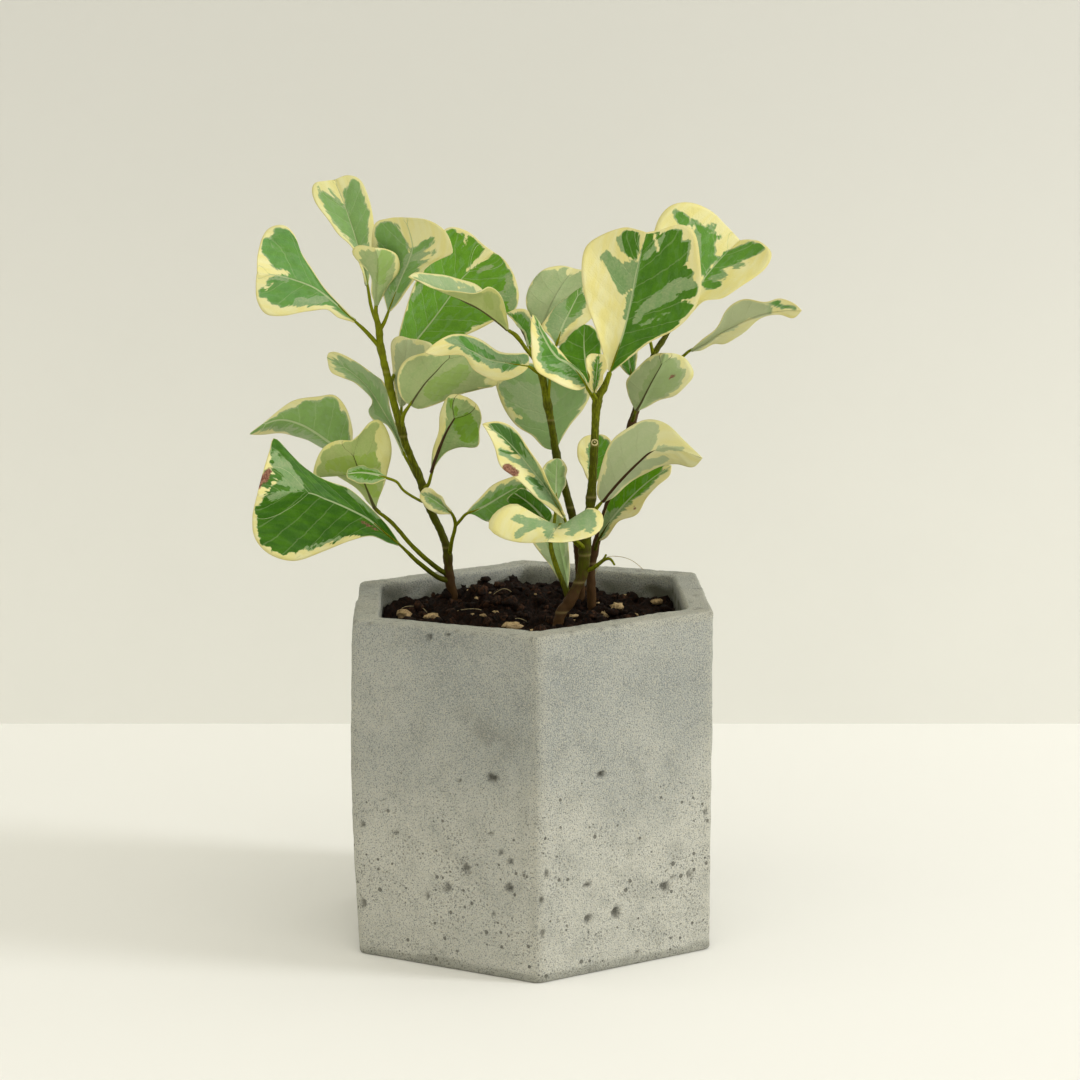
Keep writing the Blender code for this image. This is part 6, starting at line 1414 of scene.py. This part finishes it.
def lumpy_height(x, y, lumpiness):
    """The soil's height with its lumps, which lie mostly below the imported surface."""
    rough = 0.55 * wave_noise(x, y, 0 * x, 41, 2.6) + 0.4 * wave_noise(x / 1.1, y / 1.5, 0 * x, 42)
    rough = rough + 0.22 * wave_noise(x / 0.55, y / 0.6, 0 * x, 43)
    return soil_height(x, y) + lumpiness * (rough - 0.35)


def soil_reach(turns):
    """The soil's edge, a small gap from the wall, where the planter is 0.1 mm narrower than at its rim."""
    flat = (RIM_RADIUS - 0.1) * math.cos(math.pi / 6) - WALL - SOIL_GAP
    return hexagon_radius(turns, flat, INNER_CORNER_ROUND)


def add_lump(body, rng, centre, size, slot=0, rows=5, sides=8):
    """A crumb: a sphere grid stretched by its three sizes, turned about Z and roughened."""
    up = np.linspace(0, math.pi, rows)[:, None]
    turn = np.linspace(0, 2 * math.pi, sides, endpoint=False)[None, :]
    ball = np.stack([np.sin(up) * np.cos(turn), np.sin(up) * np.sin(turn), np.cos(up) + 0 * turn], -1)
    rough = 1 + 0.24 * rng.normal(size=ball.shape[:2])
    rough[0], rough[-1] = rough[0, 0], rough[-1, 0]
    ball = ball * rough[..., None] * size
    a = rng.uniform(0, 2 * math.pi)
    x = ball[..., 0] * math.cos(a) - ball[..., 1] * math.sin(a)
    y = ball[..., 0] * math.sin(a) + ball[..., 1] * math.cos(a)
    ball = np.stack([x, y, ball[..., 2]], -1) + centre
    body.add(poled(ball), poled_faces(rows, sides)[:, ::-1], slot)


class OBJECT_OT_fig_soil(bpy.types.Operator):
    """Fill the planter with lumpy potting soil, crumbs, tan chips and fibres"""

    bl_idname = "object.fig_soil"
    bl_label = "Potting Soil"

    def execute(self, context):
        s = context.scene.fig_soil
        lumpiness = s.lumpiness / MM

        def ground(x, y):
            return float(lumpy_height(np.array(x), np.array(y), lumpiness))

        turns = hexagon_turns(50, 6)
        way = compass(turns)
        share = np.concatenate([np.linspace(0, 1, 90), [1.0, 0.0]])[:, None]
        radius = share * soil_reach(turns)[None, :]
        x, y = radius * np.cos(way), radius * np.sin(way)
        z = lumpy_height(x, y, lumpiness)
        z[-2:] = SOIL_FOOT
        x = inner_lean(x)
        body = Body()
        body.add(poled(np.stack([x, y, z], -1)), poled_faces(*x.shape)[:, ::-1])
        earth = soil_material("moist_soil", s.dark, s.light, 0.3)
        body.finish("potting_soil_surface", [earth], ["soil"])

        rng = np.random.default_rng(11)
        loose = Body()
        for _ in range(s.crumbs):
            a = rng.uniform(0, 2 * math.pi)
            reach = math.sqrt(rng.uniform(0, 1)) * (soil_reach(a) - CRUMB_MARGIN)
            turn = compass(a)
            x, y = reach * math.cos(turn), reach * math.sin(turn)
            big = rng.uniform(0.4, 1.75) ** 1.6
            size = np.array([big, big * rng.uniform(0.5, 1), big * rng.uniform(0.4, 0.8)])
            place = (inner_lean(x), y, ground(x, y) + size[2] * 0.2)
            add_lump(loose, rng, place, size, slot=int(rng.uniform() < 0.35))
        brown = soil_material("reddish_crumbs", DARK_CRUMB, RED_CRUMB, 0.6)
        loose.finish("soil_crumbs", [earth, brown])

        chips = Body()
        for x, y, length, breadth in CHIPS:
            rng = np.random.default_rng(round(length * 100 + x))
            size = np.array([length * 0.62, breadth * 0.62, breadth * 0.4])
            add_lump(chips, rng, (x, y, ground(x, y) + 0.5), size, rows=7, sides=12)
        for x, y in rng.uniform(-30, 30, size=(FLECKS, 2)):
            size = np.array([0.75, 0.5, 0.35]) * rng.uniform(0.5, 1.3)
            add_lump(chips, rng, (x, y, ground(x, y) + 0.2), size)
        tan = soil_material("tan_chips", s.chip, BROWN_CHIP, 0.8)
        chips.finish("tan_chips", [tan])

        fibres = Body()
        for path in FIBRES:
            tube(fibres, [(*p, FIBRE_RADIUS) for p in path], sides=5, step=0.8)
        fibre = soil_material("root_fibre", ROOT, BROWN_ROOT, 0.4)
        fibres.finish("root_fibres", [fibre])
        return {"FINISHED"}


# The plant

# Each stem's foot, path, twigs and leaves, the heights between which its bark goes from brown to green,
# and those of its old leaf scars
STEMS = {
    "left": (LEFT_FOOT, LEFT_STEM, [], LEFT_LEAVES, (104, 172), (107.5, 141, 160)),
    "middle": (MIDDLE_FOOT, MIDDLE_STEM, [], MIDDLE_LEAVES, (116, 186), (120, 146)),
    "front": (FRONT_FOOT, FRONT_STEM, FRONT_TWIGS, FRONT_LEAVES, (104, 188), (93.5, 102, 109.7, 126.2, 141)),
    "right": (RIGHT_FOOT, RIGHT_STEM, RIGHT_TWIGS, RIGHT_LEAVES, (150, 215), (104, 127)),
}
# Height of the round scar on the front stem
BUD_SCAR = 141.8
# Radii of a petiole where it runs on under its blade
UNDER_BLADE = [[0.42], [0.34], [0.2]]


def seen(path):
    """A path of (x, z, depth, radius) as (x, y, z, radius)."""
    path = np.array(path, float)
    return np.hstack([sight(path[:, 0], path[:, 1], path[:, 2]), path[:, 3:]])


def bud_scar(body, place):
    """A pale round scar on the front of a stem: a raised ring round a raised dot, bent to the bark."""
    x, y, z, radius = place
    for size, end in ((0.8, 1.96 * math.pi), (0.12, math.pi)):
        turn = np.linspace(0, end, 16)
        across = size * np.cos(turn)
        front = y - np.sqrt((radius * 1.05) ** 2 - across**2)
        ring = np.stack([x + across, front, z + size * np.sin(turn), 0.22 + 0 * turn], -1)
        tube(body, ring, sides=8, step=0.3, bark=lambda points: 0 * points + (0.1, 1.8, 0.0))


class OBJECT_OT_fig_leaves(bpy.types.Operator):
    """Grow the variegated leaves of all four stems"""

    bl_idname = "object.fig_leaves"
    bl_label = "Variegated Leaves"

    def execute(self, context):
        upper = leaf_material("leaf_upper_face", False)
        under = leaf_material("leaf_underside", True)
        seed = 0
        for name, (_, _, _, leaves, _, _) in STEMS.items():
            body = Body()
            for leaf in leaves:
                seed += 1
                add_leaf(body, context.scene.fig_leaves, seed, USUAL | leaf)
            body.finish(f"leaves_{name}", [upper, under], [f"leafy_stem_{name}"])
        return {"FINISHED"}


class OBJECT_OT_fig_stems(bpy.types.Operator):
    """Grow the four stems with their twigs, petioles, nodes and scars"""

    bl_idname = "object.fig_stems"
    bl_label = "Stems and Petioles"

    def execute(self, context):
        swelling = context.scene.fig_stems.swelling
        material = stem_material()
        for name, (foot, stem, twigs, leaves, (brown, green), scars) in STEMS.items():
            body = Body()
            nodes = np.array([seen(leaf["petiole"])[0, :3] for leaf in leaves])
            path = np.vstack([foot, seen(stem)])

            def swell(centre):
                near = np.linalg.norm(centre[:, None] - nodes[None], axis=2).min(axis=1)
                ring = np.abs(centre[:, 2:3] - scars).min(axis=1)
                return swelling * np.exp(-((near / 1.8) ** 2)) + 0.06 * np.exp(-((ring / 0.7) ** 2))

            def bark(points, offset=0.0):
                age = ease(green, brown, points[:, 2] + 5 * wave_noise(*points.T, 17, 6)) * 0.55
                age = age + 0.45 * ease(brown + 4, brown - 8, points[:, 2]) + offset
                ring = np.abs(points[:, 2:3] - scars).min(axis=1)
                near = np.linalg.norm(points[:, None] - nodes[None], axis=2).min(axis=1)
                pale = 0.8 * np.exp(-((ring / 0.45) ** 2))
                dark = 0.3 * np.exp(-(((near - 1.5) / 0.5) ** 2)) + 0.4 * np.exp(-(((ring - 1) / 0.3) ** 2))
                return np.stack([age, pale, dark], -1)

            tube(body, path, sides=28, step=0.4, bark=bark, swell=swell)
            if name == "front":
                bud_scar(body, [np.interp(BUD_SCAR, path[:, 2], path[:, k]) for k in range(4)])
            for twig in twigs:
                tube(body, seen(twig), sides=10, step=0.7, bark=lambda p: bark(p, -0.4) * (1, 0.3, 0.5))
            for leaf in leaves:
                line = smooth(midrib(leaf), 10)[:3]
                back = midrib_depth(USUAL | leaf, np.arange(3) / 9)
                rib = np.hstack([sight(line[:, 0], line[:, 1], back), UNDER_BLADE])
                path = np.vstack([seen(leaf["petiole"]), rib])
                tube(body, path, sides=10, step=0.6, bark=lambda p: bark(p, -0.35) * (0.8, 0.0, 0.6))
            body.finish(f"stem_{name}", [material], [f"leafy_stem_{name}"])
        return {"FINISHED"}


# The stage

# The tabletop and the wall behind it, in millimetres, and the wall's painted shade, which darkens it upwards
# and ends at FADE_TOP
STAGE_HALF_WIDTH = 1500
TABLE_FRONT = -1600
WALL_TOP = 1500
FADE_TOP = 330
# The key light and what it is turned to, in metres, and the camera's lens and tilt
KEY_PLACE = (2.08, -0.46, 0.93)
KEY_TARGET = (0, 0, 0.08)
KEY_SIZE = 0.55
LENS = 96.17
SENSOR = 36
TILT = math.radians(80)


def card(name, near, far, material):
    """A flat upright or level card from one edge's (y, z) to the other's, as wide as the stage."""
    corners = [(-STAGE_HALF_WIDTH, *near), (STAGE_HALF_WIDTH, *near)]
    corners += [(STAGE_HALF_WIDTH, *far), (-STAGE_HALF_WIDTH, *far)]
    mesh = bpy.data.meshes.new(name)
    mesh.from_pydata((np.array(corners, float) * MM).tolist(), [], [(0, 1, 2, 3)])
    mesh.materials.append(material)
    thing = bpy.data.objects.new(name, mesh)
    bpy.context.scene.collection.objects.link(thing)


def soft_light(name, place, target, size, power):
    """A round soft light that is turned to its target."""
    light = bpy.data.lights.new(name, "AREA")
    light.shape = "DISK"
    light.size = size
    light.energy = power
    light.color = (1.0, 1.0, 0.99)
    thing = bpy.data.objects.new(name, light)
    bpy.context.scene.collection.objects.link(thing)
    thing.location = place
    x, y, z = np.array(target) - np.array(place)
    thing.rotation_euler = (math.atan2(math.hypot(x, y), -z), 0, math.atan2(y, x) - math.pi / 2)


class OBJECT_OT_fig_stage(bpy.types.Operator):
    """Set the table, the wall, the soft lights and the camera"""

    bl_idname = "object.fig_stage"
    bl_label = "Table, Wall, Lights and Camera"

    def execute(self, context):
        s = context.scene.fig_stage
        card("tabletop", (TABLE_FRONT, 0), (WALL_BEHIND, 0), table_material(s.table))
        wall = wall_material(s.wall_low, s.wall_high, FADE_TOP)
        card("back_wall", (WALL_BEHIND, 0), (WALL_BEHIND, WALL_TOP), wall)
        soft_light("key_light", KEY_PLACE, KEY_TARGET, KEY_SIZE, s.key)
        world = bpy.data.worlds.new("soft_room")
        world.use_nodes = True
        sky = world.node_tree.nodes["Background"].inputs
        Nodes(world.node_tree).give(sky, {"Color": DAYLIGHT, "Strength": s.fill})
        context.scene.world = world
        context.scene.view_settings.view_transform = "Standard"
        camera = bpy.data.cameras.new("eye")
        camera.lens = LENS
        camera.sensor_width = SENSOR
        camera.clip_start = 0.01
        thing = bpy.data.objects.new("eye", camera)
        context.scene.collection.objects.link(thing)
        thing.location = (EYE[0] * MM, EYE[1] * MM, (EYE[2] + RAISED) * MM)
        thing.rotation_euler = (TILT, 0, 0)
        context.scene.camera = thing
        return {"FINISHED"}


class VIEW3D_PT_fig(bpy.types.Panel):
    """Makes the pieces of the potted fig"""

    bl_idname = "VIEW3D_PT_fig"
    bl_label = "Triangle Fig"
    bl_space_type = "VIEW_3D"
    bl_region_type = "UI"
    bl_category = "Fig"

    def draw(self, context):
        for name, (maker, _) in MAKERS.items():
            box = self.layout.box()
            box.operator(maker.bl_idname)
            settings = getattr(context.scene, name)
            for title in settings.__annotations__:
                box.prop(settings, title)


MAKERS = {
    "fig_pot": (OBJECT_OT_fig_pot, FigPotSettings),
    "fig_soil": (OBJECT_OT_fig_soil, FigSoilSettings),
    "fig_stems": (OBJECT_OT_fig_stems, FigStemSettings),
    "fig_leaves": (OBJECT_OT_fig_leaves, FigLeafSettings),
    "fig_stage": (OBJECT_OT_fig_stage, FigStageSettings),
}


def register():
    for name, (maker, settings) in MAKERS.items():
        bpy.utils.register_class(settings)
        setattr(bpy.types.Scene, name, bpy.props.PointerProperty(type=settings))
        bpy.utils.register_class(maker)
    bpy.utils.register_class(VIEW3D_PT_fig)


def unregister():
    bpy.utils.unregister_class(VIEW3D_PT_fig)
    for name, (maker, settings) in reversed(MAKERS.items()):
        bpy.utils.unregister_class(maker)
        delattr(bpy.types.Scene, name)
        bpy.utils.unregister_class(settings)


def main():
    """Make every piece in order."""
    register()
    bpy.ops.object.fig_pot()
    bpy.ops.object.fig_soil()
    bpy.ops.object.fig_stems()
    bpy.ops.object.fig_leaves()
    bpy.ops.object.fig_stage()
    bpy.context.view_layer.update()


if __name__ == "__main__":
    main()
